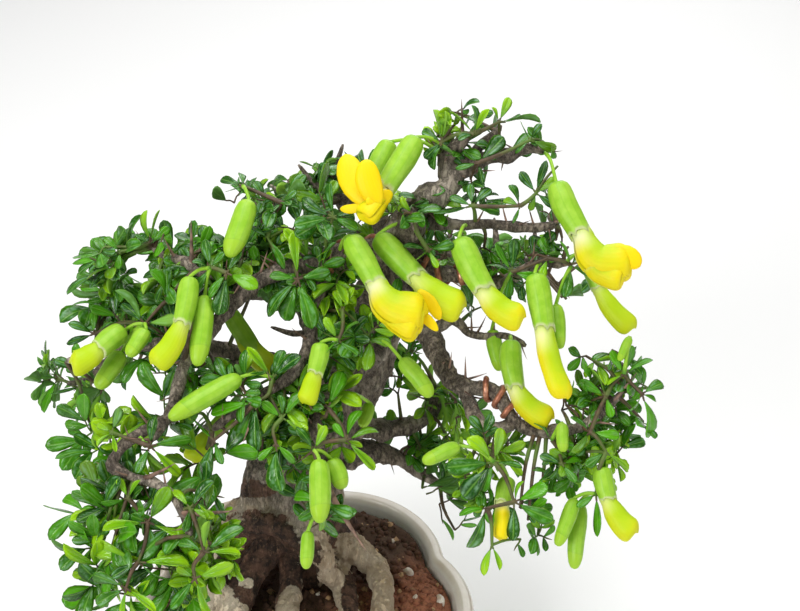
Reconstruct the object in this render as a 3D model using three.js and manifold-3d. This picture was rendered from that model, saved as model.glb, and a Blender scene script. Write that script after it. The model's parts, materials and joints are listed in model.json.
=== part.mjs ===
// A shohin caragana bonsai in bloom, growing over exposed roots in a five-lobed glazed pot.
// Millimetres, +Z up. The origin is the middle of the pot's flat underside.
import * as THREE from "three";
import { mergeVertices } from "three/addons/utils/BufferGeometryUtils.js";
import Module from "manifold-3d";

const wasm = await Module();
wasm.setup();

// Driving sizes of the pot and the soil
const POT_HEIGHT = 35;
const POT_LOBES = 5;
const LOBE_OFFSET = 17; // from the pot's middle to the middle of each lobe's round
const LOBE_RADIUS = 31;
const FIRST_LOBE = 59; // degrees
const SIDES_A_LOBE = 6;
const RIM_REACH = LOBE_OFFSET + LOBE_RADIUS;
const FOOT_REACH = 0.95; // of the turned profile, where the lobes have faded
const BASE_ROUNDNESS = 0.45; // how far the lobes fade towards the foot
const FLOOR = 5;
const DRAIN_HOLES = 3;
const DRAIN_RADIUS = 3;
const DRAIN_CIRCLE = 14;
const MESH_RADIUS = 20;
const MESH_THICK = 0.8;
const MESH_HOLES = 4;
const MESH_HOLE_RADIUS = 2.4;
const SOIL_HEAP = 36;
const SOIL_SURFACE = 32.5; // above it the soil is uneven

// Driving sizes of the plant
const GAP = 0.3; // clear air between two pieces that touch on the real tree
const FACET_ROOM = 0.15; // what a flat-sided limb may stand out beyond its ring
const LEAFLET_THICK = 0.9;
const LEAFLET_WIDTH = 0.47; // of its length
const WIDEST_LEAFLET = 4.8;
const NARROWEST_LEAFLET = 2.6;
const LEAFLET_ROOM = 0.86; // radians between two leaflets of a rosette
const NOTCH_ROOM = 1.9; // radians that one notch between leaflets spans at most
const STEM_RADIUS = 0.55;
const PEDICEL_RADIUS = 0.6;
const CORE_RADIUS = 1.25; // the cushion that a rosette of leaflets grows from
const THORN_RADIUS = 0.5;
const CALYX_LIP = 0.92;
const FLOWER_SIDES = 5;
const WIRE_RADIUS = 0.7;

// The line of sight that branch, leaf and flower places are given on: [across, down, depth].
// Across and down are picture places, depth is millimetres behind the plane through TARGET.
const PICTURE_MIDDLE = [400, 305.5];
const FOCAL = 1419;
const DISTANCE = 330;
const ELEVATION = THREE.MathUtils.degToRad(33);
const TARGET = new THREE.Vector3(27.3, -7.4, 135.5);
const SIGHT = new THREE.Vector3(0, Math.cos(ELEVATION), -Math.sin(ELEVATION));
const SIGHT_UP = new THREE.Vector3(0, Math.sin(ELEVATION), Math.cos(ELEVATION));
const CROWN_MIDDLE = new THREE.Vector3(12, 6, 112);
const UP = new THREE.Vector3(0, 0, 1);

const COLOURS = {
  glaze: 0xcfcdc0,
  mesh: 0x2a2b2a,
  soil: 0x38241a,
  bark: 0x5b4c40,
  copper: 0x7c4026,
  calyx: 0x9bcf2d,
  petal: 0xf7d80a,
  leaf: 0x2c7a2a,
};

// Roots, trunk and the limbs at the back: [x, y, z, radius]
const ROOTS = {
  core: [[2, 7, 60, 9], [2, 8, 46, 7], [1, 7, 26, 5.6]],
  left: [[-4, 5, 63, 7], [-17, 4, 58, 5.8], [-24, 2, 48, 5], [-23, -4, 40, 4.4], [-24, -12, 28, 3.4]],
  left_back: [[-3, 10, 61, 6], [-15, 17, 51, 5], [-24, 23, 40, 4], [-27, 25, 28, 3]],
  front_left: [[-4, 6, 56, 5], [-12, 1, 45, 4.2], [-17, -11, 38, 3.6], [-19, -23, 28, 2.8]],
  front: [[0, 8, 54, 4.5], [-2, 2, 43, 3.8], [-3, -9, 39, 3.3], [-3, -20, 35, 3], [-2, -27, 27, 2.6]],
  finger: [
    [8, 9, 50, 4.6], [18, 8, 42, 3.8], [21.5, 4, 39.5, 3.6], [22.5, -4, 37, 3.4], [22, -14, 35, 3],
    [22, -21, 26, 2.4],
  ],
  diagonal: [
    [3, 11, 54, 5], [7, 12, 43, 4.2], [10, 5, 38.5, 3.6], [13, -5, 37, 3.4], [15, -15, 34, 3],
    [15, -21, 27, 2.6],
  ],
  brow: [
    [-14, 2, 61, 4.2], [-5, -2.5, 65, 4], [1, -4, 62, 3.8],
    [5.5, -4.5, 56, 3.5], [8, -2, 46, 3.2], [10, 3, 38, 3],
  ],
  shoulder: [[4, 6, 92, 5], [-3, 5.5, 82, 6.2], [-8, 5, 73, 6.5], [-9, 4, 63, 6.5]],
  back_right: [[5, 12, 56, 5.2], [8, 22, 44, 4.2], [12, 29, 35, 3.2], [14, 32, 27, 2.6]],
  back: [[-2, 13, 58, 5.6], [-5, 24, 46, 4.6], [-7, 30, 35, 3.4], [-8, 32, 27, 2.6]],
};
const TRUNK = [
  [2, 7, 50, 7.5], [1.5, 6, 59, 10.5], [1.5, 5.6, 69, 11], [5.6, 7, 81, 8.3], [13.4, 8.6, 94, 6.6],
  [19.5, 8.9, 106, 5.8],
  [22, 8.9, 115, 5.2], [24.5, 8.7, 126, 4.7], [25.6, 8.2, 137, 4.4], [27, 7, 147, 4.2], [33, 7.2, 155, 3.7],
  [38.5, 7.4, 158.5, 3.2], [39.5, 9.5, 162.5, 2.7],
];
const BACK_LIMBS = {
  back_left: [
    [16, 9, 98, 4], [8, 20, 103, 3], [-1, 31, 113, 2.3], [-19, 38, 110, 1.7], [-30, 49, 103, 1],
  ],
  back_middle: [
    [21, 9, 112, 3.6], [18, 24, 120, 2.6], [26, 36, 127, 1.8], [22, 50, 121, 1.3], [14, 57, 112, 0.9],
  ],
  back_right: [
    [24, 9, 122, 3.2], [35, 19, 131, 2.3], [49, 25, 127, 1.7], [57, 36, 122, 1.3], [70, 40, 111, 0.9],
  ],
  back_top: [[26, 8, 140, 3], [21, 19, 145, 2.1], [10, 29, 144, 1.5], [-3, 42, 136, 0.9]],
  left_middle: [
    [15, 9, 96, 3.8], [-4, 14, 103, 2.7], [-24, 9, 113, 2], [-43, 15, 108, 1.4], [-55, 11, 97, 0.9],
  ],
};
// The limbs that the line of sight reaches: [across, down, depth, radius]
const LIMBS = {
  apex: [
    [455, 188, 0, 2.9], [450, 174, 0, 2.7], [446, 158, -1, 2.2], [455, 148, -2, 1.7], [468, 137, -3, 1],
  ],
  apex_right: [
    [450, 174, 0, 2.2], [467, 170, -1, 1.9], [486, 158, -2, 1.6], [507, 155, -2, 1.4], [530, 148, -3, 1.2],
    [545, 152, -3, 0.9],
  ],
  apex_twig: [[464, 165, -1, 1.4], [480, 146, 0, 1.1], [495, 134, 1, 0.9], [501, 125, 1, 0.7]],
  crown_right: [
    [430, 222, 2, 2], [460, 225, -1, 1.3], [485, 224, -2, 1.1], [515, 227, -3, 1.15], [540, 227, -4, 1.1],
    [556, 225, -4, 1],
  ],
  right_middle: [
    [398, 250, 6, 3.2], [414, 256, 3, 2.6], [431, 271, 2, 2.2], [446, 274, 1, 2], [470, 279, 0, 1.8],
    [492, 282, 0, 1.6], [508, 280, -1, 1.4], [527, 268, -2, 1.2], [545, 263, -3, 1.1], [563, 265, -4, 0.9],
  ],
  right_main: [
    [388, 302, 15, 3.8], [410, 316, 11, 3.2], [429, 336, 8, 2.8], [443, 366, 5, 2.5], [453, 381, 4, 2.3],
    [470, 387, 2, 1.8], [487, 389, 0, 1.7], [500, 397, -1, 1.6], [508, 411, -2, 1.6], [518, 424, -2, 1.6],
    [538, 431, -3, 1.5], [562, 432, -4, 1.4], [586, 424, -4, 1.2], [606, 409, -4, 1], [622, 392, -4, 0.8],
  ],
  right_loop: [
    [455, 382, 4, 1.9], [467, 396, 3, 1.6], [475, 415, 1, 1.5], [485, 427, -1, 1.4], [502, 428, -2, 1.4],
    [514, 422, -2, 1.4],
  ],
  dark_twig: [
    [428, 334, 9, 1.8], [453, 320, 6, 1.1], [468, 333, 6, 1], [484, 336, 5, 1], [505, 336, 5, 0.9],
    [526, 346, 4, 0.7],
  ],
  left_main: [
    [388, 252, 6, 3.6], [360, 253, 3, 2.8], [330, 258, 0, 2.5], [300, 266, -2, 2.2], [278, 272, -3, 2.1],
    [251, 285, -4, 1.9], [233, 303, -5, 1.8], [206, 335, -7, 1.6], [184, 365, -9, 1.4],
    [177, 392, -11, 1.3], [166, 420, -12, 1.2], [152, 440, -13, 1],
  ],
  upper_left: [
    [252, 284, -4, 1.6], [225, 276, -4, 1.3], [199, 272, -4, 1.2], [185, 262, -3, 1.1], [167, 257, -2, 0.9],
    [152, 248, -1, 0.8],
  ],
  far_left: [
    [208, 333, -7, 1.5], [170, 343, -3, 1.3], [130, 348, 2, 1.2], [95, 352, 6, 1], [66, 362, 9, 0.8],
  ],
  lower_left: [
    [166, 420, -12, 1.3], [130, 440, -13, 1.3], [112, 464, -13, 1.3], [132, 477, -14, 1.2],
    [152, 482, -15, 1.2], [171, 494, -17, 1.1], [183, 514, -19, 1], [191, 536, -20, 0.8],
  ],
  left_inner: [
    [330, 258, 0, 1.8], [322, 290, 0, 1.6], [313, 325, -1, 1.4], [300, 365, -4, 1.3], [277, 386, -6, 1.2],
    [258, 396, -7, 1.1], [238, 410, -9, 1], [212, 430, -10, 0.8],
  ],
  centre_low: [
    [374, 350, 24, 3.4], [352, 374, 12, 2.4], [331, 396, 2, 1.9], [316, 418, -5, 1.5], [319, 442, -8, 1.2],
    [324, 464, -9, 1], [327, 488, -10, 0.8],
  ],
  back_low: [
    [345, 452, 42, 4.5], [372, 452, 46, 2.8], [398, 458, 50, 2.2], [422, 474, 50, 1.7],
    [440, 485, 50, 1.2],
  ],
  back_bend: [
    [352, 424, 38, 4], [384, 430, 44, 2.6], [412, 424, 47, 2.1], [432, 412, 48, 1.7],
    [438, 390, 48, 1.2],
  ],
  dead_stub: [[404, 238, 2, 4.4], [409, 227, -3, 4], [411, 218, -7, 3]],
};

// Thorns: [limb, share of its length, across, down, depth of the tip]
const THORNS = [
  ["apex_right", 1, 563, 152, -3], ["apex", 0.9, 461, 99, -4], ["apex", 0.35, 424, 138, 0],
  ["crown_right", 0.55, 500, 200, -3], ["crown_right", 0.75, 527, 205, -5],
  ["crown_right", 0.9, 551, 243, -6], ["right_middle", 0.85, 568, 300, -5],
  ["right_middle", 0.5, 480, 301, -2], ["right_middle", 1, 591, 262, -6],
  ["right_main", 0.95, 640, 372, -6], ["right_main", 0.74, 541, 405, -5],
  ["dark_twig", 0.5, 488, 316, 3], ["left_main", 0.72, 196, 313, -12],
  ["upper_left", 0.5, 192, 219, -6], ["upper_left", 1, 135, 232, 2], ["lower_left", 0.85, 238, 514, -22],
  ["lower_left", 0.5, 178, 466, -20], ["left_inner", 0.7, 244, 444, -12],
  ["left_inner", 0.35, 290, 330, -8],
  ["centre_low", 1, 364, 553, -12], ["far_left", 0.5, 122, 318, -2],
];

// Copper wire wound on the limbs: [limb, from share, to share, turns]
const WIRES = {
  wire_right: ["right_main", 0.41, 0.58, 2.5],
  wire_crown: ["left_main", 0.02, 0.2, 2],
  wire_middle: ["right_middle", 0.14, 0.42, 2.5],
};

// Flowers: pedicel and calyx run base to mouth, the corolla's keel goes on from the mouth.
// Each point is [across, down, depth]; petals are [tip across, tip down, tip depth, width].
const BLOOMS = {
  bloom_01: {
    calyx: [[417, 137, -6], [402, 162, -8], [385, 188, -10]], radius: 2.9,
    keel: [[383, 190, -10], [372, 200, -12], [358, 216, -14]], keelRadii: [2, 2.6, 1.2],
    petals: [[352, 155, -9, 13], [341, 186, -15, 9], [379, 210, -18, 8], [340, 208, -13, 6]],
  },
  bloom_02: {
    calyx: [[390, 142, 4], [382, 158, 2], [372, 178, 0]], radius: 2.6,
    keel: [[371, 181, 0], [364, 192, -2], [354, 200, -4]], keelRadii: [1.8, 2.1, 1],
    petals: [[352, 192, -2, 7]],
  },
  bloom_03: {
    calyx: [[350, 236, -9], [362, 258, -11], [376, 283, -13]], radius: 2.8,
    keel: [[377, 286, -13], [392, 308, -15], [412, 338, -18]], keelRadii: [2.4, 3.6, 1.6],
    petals: [[427, 312, -14, 13], [392, 338, -20, 11], [430, 330, -21, 9], [372, 310, -12, 6]],
  },
  bloom_04: {
    calyx: [[377, 236, -4], [396, 256, -6], [416, 277, -8]], radius: 3,
    keel: [[418, 279, -8], [438, 297, -9], [465, 311, -10]], keelRadii: [2.6, 3.9, 2.2],
    petals: [[467, 298, -9, 9], [440, 318, -12, 6]],
  },
  bloom_05: {
    calyx: [[459, 238, -8], [470, 264, -10], [484, 290, -12]], radius: 3.1,
    keel: [[486, 293, -12], [501, 310, -13], [525, 321, -14]], keelRadii: [2.6, 3.5, 2],
    petals: [[528, 312, -13, 8]],
  },
  bloom_06: {
    calyx: [[535, 273, -9], [540, 300, -10], [544, 327, -11]], radius: 2.8,
    keel: [[544, 330, -11], [551, 364, -12], [565, 401, -13]], keelRadii: [2.3, 3.1, 1.4],
    petals: [[556, 403, -10, 7]],
  },
  bloom_07: {
    calyx: [[556, 182, -8], [566, 208, -10], [580, 233, -12]], radius: 3,
    keel: [[582, 236, -12], [596, 260, -14], [618, 278, -16]], keelRadii: [2.6, 3.8, 2],
    petals: [[639, 262, -15, 12], [626, 284, -19, 8], [608, 284, -10, 7]],
  },
  bloom_08: {
    calyx: [[588, 254, 2], [592, 270, 1], [599, 288, 0]], radius: 2.2,
    keel: [[600, 291, 0], [614, 312, -1], [634, 331, -2]], keelRadii: [1.9, 2.9, 1.5],
    petals: [[637, 322, 0, 7]],
  },
  bloom_09: {
    calyx: [[511, 340, 0], [511, 363, -2], [515, 386, -3]], radius: 2.6,
    keel: [[516, 389, -3], [529, 408, -4], [553, 422, -5]], keelRadii: [2.2, 3, 1.6],
    petals: [[557, 415, -4, 8]],
  },
};

// Flowers half hidden among the leaves: their calyx grows on the leafy stem named with them.
const SIDE_BLOOMS = {
  bloom_10: {
    calyx: [[601, 467, -8], [604, 483, -9], [608, 499, -10]], radius: 2.3,
    keel: [[609, 502, -10], [620, 521, -11], [636, 536, -12]], keelRadii: [2, 2.9, 1.6],
    petals: [[641, 528, -10, 7]],
  },
  bloom_11: {
    calyx: [[190, 277, -10], [187, 300, -12], [182, 323, -14]], radius: 2.4,
    keel: [[181, 326, -14], [170, 348, -15], [153, 367, -16]], keelRadii: [2.1, 2.9, 1.6],
    petals: [[149, 361, -14, 7]],
  },
  bloom_12: {
    calyx: [[124, 331, -6], [112, 338, -8], [99, 349, -10]], radius: 2.8,
    keel: [[97, 351, -10], [84, 360, -11], [70, 366, -12]], keelRadii: [2.3, 3, 1.6],
    petals: [[68, 358, -11, 8]],
  },
  bloom_13: {
    calyx: [[508, 478, -2], [505, 490, -4], [502, 503, -6]], radius: 2.1,
    keel: [[502, 506, -6], [502, 522, -8], [500, 541, -9]], keelRadii: [1.8, 2.6, 1.4],
    petals: [[494, 540, -9, 6]],
  },
  bloom_15: {
    calyx: [[321, 343, -8], [319, 358, -9], [315, 373, -10]], radius: 2.2,
    keel: [[314, 376, -10], [310, 390, -11], [305, 405, -12]], keelRadii: [1.9, 2.3, 1.2],
    petals: [[299, 404, -11, 5]],
  },
  bloom_16: {
    calyx: [[232, 414, 2], [222, 423, 1], [212, 433, 0]], radius: 2.3,
    keel: [[210, 435, 0], [200, 446, 0], [190, 462, -1]], keelRadii: [1.9, 2.7, 1.4],
    petals: [[184, 458, 0, 6]],
  },
};

// The flower behind the left limbs, one body with its calyx
const HIDDEN_BLOOM = {
  calyx: [[228, 308, 12], [236, 323, 11]],
  radius: 2.3,
  keel: [[247, 343, 10], [259, 358, 9], [276, 371, 8]],
  keelRadii: [2, 2.8, 1.5],
  petals: [[281, 364, 8, 7]],
};

// Closed buds: calyx-shaped, [base, tip, radius]
const BUDS = {
  bud_01: [[249, 200, -6], [229, 257, -11], 2.7],
  bud_02: [[205, 295, -8], [197, 366, -13], 2.5],
  bud_03: [[241, 377, -10], [169, 419, -16], 2.6],
  bud_04: [[319, 459, -13], [320, 523, -18], 2.5],
  bud_05: [[331, 459, -9], [343, 489, -11], 2.2],
  bud_06: [[308, 531, -12], [306, 569, -15], 1.6],
  bud_07: [[401, 359, -6], [431, 397, -9], 2.2],
  bud_08: [[459, 446, -10], [423, 462, -14], 1.9],
  bud_09: [[556, 304, -6], [560, 349, -9], 1.8],
  bud_10: [[492, 329, 6], [500, 371, 4], 1.9],
  bud_11: [[575, 498, -6], [557, 546, -9], 1.8],
  bud_12: [[580, 502, -2], [574, 569, -5], 2.1],
  bud_13: [[562, 423, -9], [563, 452, -11], 1.5],
  bud_14: [[630, 337, -6], [619, 361, -8], 1.1],
  bud_15: [[146, 329, -10], [128, 356, -13], 2],
  bud_16: [[370, 403, 14], [361, 427, 12], 1.7],
  bud_17: [[122, 352, -2], [97, 388, -6], 2.4],
};

// Leafy stems. Each shoot is a chain of rosettes, the first of them grows from the wood.
// A rosette is [across, down, depth] and then the [across, down] tip of each leaflet.
const SPRAYS = {
  spray_far_left: { shoots: [[
    [[150, 243, -2], [147, 210], [157, 209], [170, 228], [134, 235]],
    [[120, 252, -3], [104, 238], [97, 256], [118, 268]],
  ]] },
  spray_left_side: { blooms: ["bloom_12"], buds: ["bud_15", "bud_17"], shoots: [[
    [[168, 300, -6], [150, 270], [166, 266], [186, 292]],
    [[145, 324, -7], [122, 302], [157, 305], [175, 317], [150, 342], [115, 290]],
    [[94, 334, 4], [70, 322], [94, 310], [68, 344], [118, 322], [120, 346]],
  ]] },
  spray_round_pair: { blooms: ["bloom_11"], buds: ["bud_02"], shoots: [[
    [[227, 273, -10], [218, 315], [240, 250], [208, 296], [258, 288]],
    [[210, 268, -9], [192, 262], [205, 239], [195, 290], [224, 252]],
  ]] },
  spray_top_left: { buds: ["bud_01"], shoots: [[
    [[268, 238, -4], [287, 268], [252, 226]],
    [[282, 203, -4], [264, 195], [270, 212], [296, 191], [300, 209]],
    [[243, 186, -3], [220, 178], [226, 193], [242, 171], [256, 195]],
  ]] },
  spray_back_peak: { shoots: [[
    [[320, 170, 26], [300, 160], [308, 184], [332, 150], [344, 172], [334, 192]],
  ]] },
  spray_heart: { shoots: [
    [
      [[298, 279, -8], [270, 275], [330, 271], [264, 314], [283, 322], [312, 329], [294, 231]],
    ],
    [
      [[333, 217, -9], [328, 183], [301, 201], [294, 225], [356, 207], [358, 230]],
    ],
  ] },
  spray_sprout: { blooms: ["bloom_15"], buds: ["bud_07"], shoots: [
    [
      [[371, 340, 3], [363, 304], [352, 343], [358, 371], [387, 328]],
    ],
    [
      [[343, 310, -6], [335, 289], [353, 287]],
      [[338, 340, -8], [325, 318], [359, 322], [325, 353], [357, 356]],
    ],
  ] },
  spray_fork: { shoots: [[
    [[428, 250, -8], [403, 243], [455, 244], [438, 268], [416, 262]],
    [[412, 214, -11], [402, 196], [440, 206], [426, 226]],
  ]] },
  spray_apex: { shoots: [
    [
      [[474, 134, -6], [452, 110], [472, 105], [489, 109], [458, 140]],
      [[499, 122, -3], [492, 107], [510, 97], [521, 117], [541, 122]],
    ],
    [
      [[442, 142, -5], [422, 131], [424, 158], [434, 170], [434, 109], [446, 111]],
    ],
  ] },
  spray_apex_right: { shoots: [[
    [[478, 163, -6], [456, 169], [484, 184], [504, 139], [460, 149]],
    [[530, 140, -6], [519, 122], [542, 124], [557, 150], [515, 152]],
  ]] },
  spray_crown: { shoots: [[
    [[472, 206, -7], [434, 216], [450, 196], [470, 184], [491, 187], [500, 212]],
    [[520, 206, -8], [503, 198], [509, 185], [514, 224]],
    [[536, 193, -8], [520, 172], [545, 160], [557, 180], [553, 206], [530, 211]],
  ]] },
  spray_right_middle: { buds: ["bud_09", "bud_10"], shoots: [[
    [[512, 272, -6], [486, 262], [508, 298], [536, 276], [494, 244], [514, 238]],
    [[548, 258, -7], [540, 238], [540, 278]],
    [[571, 266, -7], [562, 240], [584, 243], [589, 274], [566, 297]],
  ]] },
  spray_right_outer: { blooms: ["bloom_10"], buds: ["bud_11", "bud_12", "bud_14"], shoots: [
    [
      [[590, 432, -8], [571, 452], [620, 436], [574, 416]],
      [[606, 452, -9], [603, 480], [628, 472], [585, 466]],
      [[596, 494, -8], [600, 537], [621, 512], [578, 506], [618, 484]],
    ],
    [
      [[606, 396, -6], [579, 381], [592, 366], [612, 418]],
      [[624, 374, -7], [610, 351], [632, 346], [652, 358], [606, 384]],
      [[642, 394, -7], [664, 381], [657, 400], [655, 437], [630, 414]],
    ],
  ] },
  spray_right_inner: { buds: ["bud_13"], shoots: [[
    [[552, 440, -7], [534, 423], [574, 447]],
    [[562, 464, -9], [540, 455], [543, 480], [576, 482], [582, 458]],
  ]] },
  spray_right_low: { blooms: ["bloom_13"], buds: ["bud_08"], shoots: [
    [
      [[494, 462, -11], [467, 438], [502, 428], [523, 466], [482, 492], [462, 498], [446, 468]],
    ],
    [
      [[514, 502, -11], [514, 541], [553, 521], [524, 481], [549, 487]],
      [[487, 508, -12], [460, 512], [468, 548]],
      [[492, 545, -12], [482, 574], [500, 570]],
    ],
  ] },
  spray_centre: { buds: ["bud_04", "bud_05", "bud_06", "bud_16"], shoots: [
    [
      [[328, 408, -7], [311, 384], [343, 371], [300, 398]],
      [[346, 440, -11], [379, 432], [375, 470], [357, 408], [334, 424]],
    ],
    [
      [[314, 450, -12], [298, 427], [326, 426], [294, 452]],
      [[322, 503, -12], [354, 516], [322, 532], [298, 519], [294, 497]],
    ],
  ] },
  spray_centre_left: { shoots: [[
    [[282, 418, -11], [279, 395], [304, 393], [308, 431], [262, 402]],
    [[276, 444, -13], [258, 459], [281, 492], [296, 462]],
  ]] },
  spray_inner_left: { buds: ["bud_03"], blooms: ["bloom_16"], shoots: [[
    [[272, 378, -8], [247, 347], [284, 350], [301, 356], [246, 378]],
    [[256, 402, -11], [210, 412], [238, 441], [254, 452]],
    [[214, 440, -12], [191, 420], [202, 480], [222, 464]],
  ]] },
  spray_left_low: { shoots: [[
    [[150, 446, -15], [156, 416], [192, 437], [180, 476], [136, 473], [128, 436]],
    [[112, 432, -15], [120, 408], [96, 424], [97, 446], [116, 452]],
  ]] },
  spray_left_hang: { shoots: [[
    [[128, 498, -16], [118, 478], [140, 480], [101, 505]],
    [[148, 522, -18], [169, 488], [155, 559], [188, 540], [102, 530]],
    [[138, 562, -18], [111, 577], [168, 584], [190, 566], [94, 545]],
    [[126, 588, -19], [96, 604], [124, 618], [156, 612], [94, 572]],
  ]] },
  spray_left_front: { shoots: [[
    [[190, 508, -20], [172, 487], [214, 481], [214, 517], [184, 532]],
    [[204, 552, -22], [207, 520], [244, 528], [241, 554], [178, 543]],
    [[195, 578, -22], [172, 609], [212, 616], [176, 568], [232, 566]],
  ]] },
};

// Leafy stems that the line of sight does not reach grow by rule round the end of a limb:
// [limb, rosettes, leaflets in each, seed]
const RULED_SPRAYS = {
  spray_back_left: ["back_left", 4, 5, 11],
  spray_back_middle: ["back_middle", 4, 5, 23],
  spray_back_right: ["back_right", 3, 5, 37],
  spray_back_top: ["back_top", 3, 5, 41],
  spray_left_middle: ["left_middle", 3, 5, 59],
  spray_back_low: ["back_low", 2, 5, 61],
  spray_back_bend: ["back_bend", 2, 5, 73],
};

// Even, repeatable draws between 0 and 1.
function draw(seed, n) {
  const wave = Math.sin(seed * 12.9898 + n * 78.233) * 43758.5453;
  return wave - Math.floor(wave);
}

// A point on the line of sight.
function seen([across, down, depth]) {
  const scale = (DISTANCE + depth) / FOCAL;
  return TARGET.clone()
    .add(new THREE.Vector3((across - PICTURE_MIDDLE[0]) * scale, 0, 0))
    .addScaledVector(SIGHT_UP, (PICTURE_MIDDLE[1] - down) * scale)
    .addScaledVector(SIGHT, depth);
}

const atWorld = ([x, y, z]) => new THREE.Vector3(x, y, z);

// A closed mesh as a solid, with shared corners merged and flat triangles left out.
function solidOf(geometry) {
  const bare = new THREE.BufferGeometry().setIndex(geometry.index);
  bare.setAttribute("position", geometry.getAttribute("position"));
  const merged = mergeVertices(bare, 1e-4);
  const corners = merged.index.array;
  const kept = [];
  for (let i = 0; i < corners.length; i += 3) {
    const [a, b, c] = corners.slice(i, i + 3);
    if (a !== b && b !== c && c !== a) kept.push(a, b, c);
  }
  return new wasm.Manifold(
    new wasm.Mesh({
      numProp: 3,
      vertProperties: new Float32Array(merged.getAttribute("position").array),
      triVerts: new Uint32Array(kept),
    }),
  );
}

const moved = (solid, { x, y, z }) => solid.translate([x, y, z]);

const joined = (solids) => solids.reduce((all, next) => all.add(next));

// The largest body of a solid: a loose scrap is dropped.
function oneBody(solid) {
  return solid.decompose().reduce((best, body) => (body.volume() > best.volume() ? body : best));
}

// Moves each vertex of a geometry to where `place` puts it.
function reshaped(geometry, place) {
  const position = geometry.getAttribute("position");
  const corner = new THREE.Vector3();
  for (let i = 0; i < position.count; i++) {
    corner.fromBufferAttribute(position, i);
    const moved = place(corner);
    position.setXYZ(i, moved.x, moved.y, moved.z);
  }
  return geometry;
}

// Places, directions and radii along a limb, ring by ring, without twist.
function ringsAlong(points, radii, steps) {
  const curve = new THREE.CatmullRomCurve3(points);
  const rings = [];
  let side = null;
  for (let i = 0; i <= steps; i++) {
    const t = i / steps;
    const along = curve.getTangent(t);
    if (!side) {
      side = new THREE.Vector3(0, 0, 1).cross(along);
      if (side.length() < 0.1) side.set(1, 0, 0);
    }
    side.addScaledVector(along, -side.dot(along)).normalize();
    const place = t * (radii.length - 1);
    const before = Math.min(Math.floor(place), radii.length - 2);
    rings.push({
      centre: curve.getPoint(t),
      along,
      side: side.clone(),
      across: side.clone().cross(along),
      radius: THREE.MathUtils.lerp(radii[before], radii[before + 1], place - before),
    });
  }
  return rings;
}

// A round, tapering, closed solid along a curve; `flat` presses its section.
function limbSolid(points, radii, sides, steps, extra = 0, flat = 1) {
  const rings = ringsAlong(points, radii, steps);
  const rod = new THREE.CylinderGeometry(1, 1, 1, sides, steps);
  return solidOf(
    reshaped(rod, (corner) => {
      const ring = rings[Math.round((corner.y + 0.5) * steps)];
      const radius = ring.radius + extra;
      return ring.centre
        .clone()
        .addScaledVector(ring.side, corner.x * radius)
        .addScaledVector(ring.across, corner.z * radius * flat);
    }),
  );
}

// Everything that is in place already, so that the next piece stays clear of it.
const placed = [];
const TOUCH = 1e-5; // cubic millimetres that count as no overlap

function keepPlace(solid) {
  placed.push({ solid, box: solid.boundingBox() });
  return solid;
}

function isClear(solid) {
  const { min, max } = solid.boundingBox();
  return placed.every(({ solid: other, box }) => {
    const apart = [0, 1, 2].some((k) => min[k] > box.max[k] || max[k] < box.min[k]);
    return apart || solid.intersect(other).volume() < TOUCH;
  });
}

// The pot: a turned profile pushed out into five lobes.
function lobeReach(angle, roundness) {
  const pitch = (2 * Math.PI) / POT_LOBES;
  const first = THREE.MathUtils.degToRad(FIRST_LOBE);
  const turn = angle - first;
  const off = turn - pitch * Math.round(turn / pitch);
  const lobed =
    LOBE_OFFSET * Math.cos(off) + Math.sqrt(LOBE_RADIUS ** 2 - (LOBE_OFFSET * Math.sin(off)) ** 2);
  return THREE.MathUtils.lerp(lobed / RIM_REACH, FOOT_REACH, roundness);
}

function lobed(profile, relief = () => 0) {
  const points = profile.map(([radius, height]) => new THREE.Vector2(radius, height));
  const turned = new THREE.LatheGeometry(points, POT_LOBES * SIDES_A_LOBE);
  return solidOf(
    reshaped(turned, ({ x, y, z }) => {
      const angle = Math.atan2(x, z) + THREE.MathUtils.degToRad(FIRST_LOBE);
      const radius = Math.hypot(x, z) * lobeReach(angle, BASE_ROUNDNESS * (1 - y / POT_HEIGHT));
      return new THREE.Vector3(
        radius * Math.cos(angle),
        radius * Math.sin(angle),
        y + relief(radius, angle, y),
      );
    }),
  );
}

function potSolid() {
  const profile = [
    [0, 0], [32, 0], [40, 12], [44.6, 24], [45.6, 30.2], [RIM_REACH, 32], [47.6, POT_HEIGHT],
    [44.2, POT_HEIGHT], [43, 33.4], [41.4, 25], [36.4, 11], [30, FLOOR], [0, FLOOR],
  ];
  let pot = lobed(profile);
  for (let i = 0; i < DRAIN_HOLES; i++) {
    const angle = ((i + 0.5) / DRAIN_HOLES) * 2 * Math.PI;
    const drill = new THREE.CylinderGeometry(DRAIN_RADIUS, DRAIN_RADIUS, 3 * FLOOR, 12);
    drill.rotateX(Math.PI / 2);
    drill.translate(DRAIN_CIRCLE * Math.cos(angle), DRAIN_CIRCLE * Math.sin(angle), 0);
    pot = pot.subtract(solidOf(drill));
  }
  return pot;
}

// A round piece of mesh lies over the drain holes.
function drainMeshSolid() {
  const round = (sides, radius, x, y) =>
    Array.from({ length: sides }, (_, i) => {
      const angle = (i / sides) * 2 * Math.PI;
      return new THREE.Vector2(x + radius * Math.cos(angle), y + radius * Math.sin(angle));
    });
  const disc = new THREE.Shape(round(14, MESH_RADIUS, 0, 0));
  for (let i = 0; i < MESH_HOLES; i++) {
    const angle = (i / MESH_HOLES) * 2 * Math.PI;
    const hole = round(4, MESH_HOLE_RADIUS, DRAIN_CIRCLE * Math.cos(angle), DRAIN_CIRCLE * Math.sin(angle));
    disc.holes.push(new THREE.Path(hole));
  }
  const sheet = new THREE.ExtrudeGeometry(disc, { depth: MESH_THICK, bevelEnabled: false });
  return solidOf(sheet.translate(0, 0, FLOOR + GAP));
}

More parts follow.
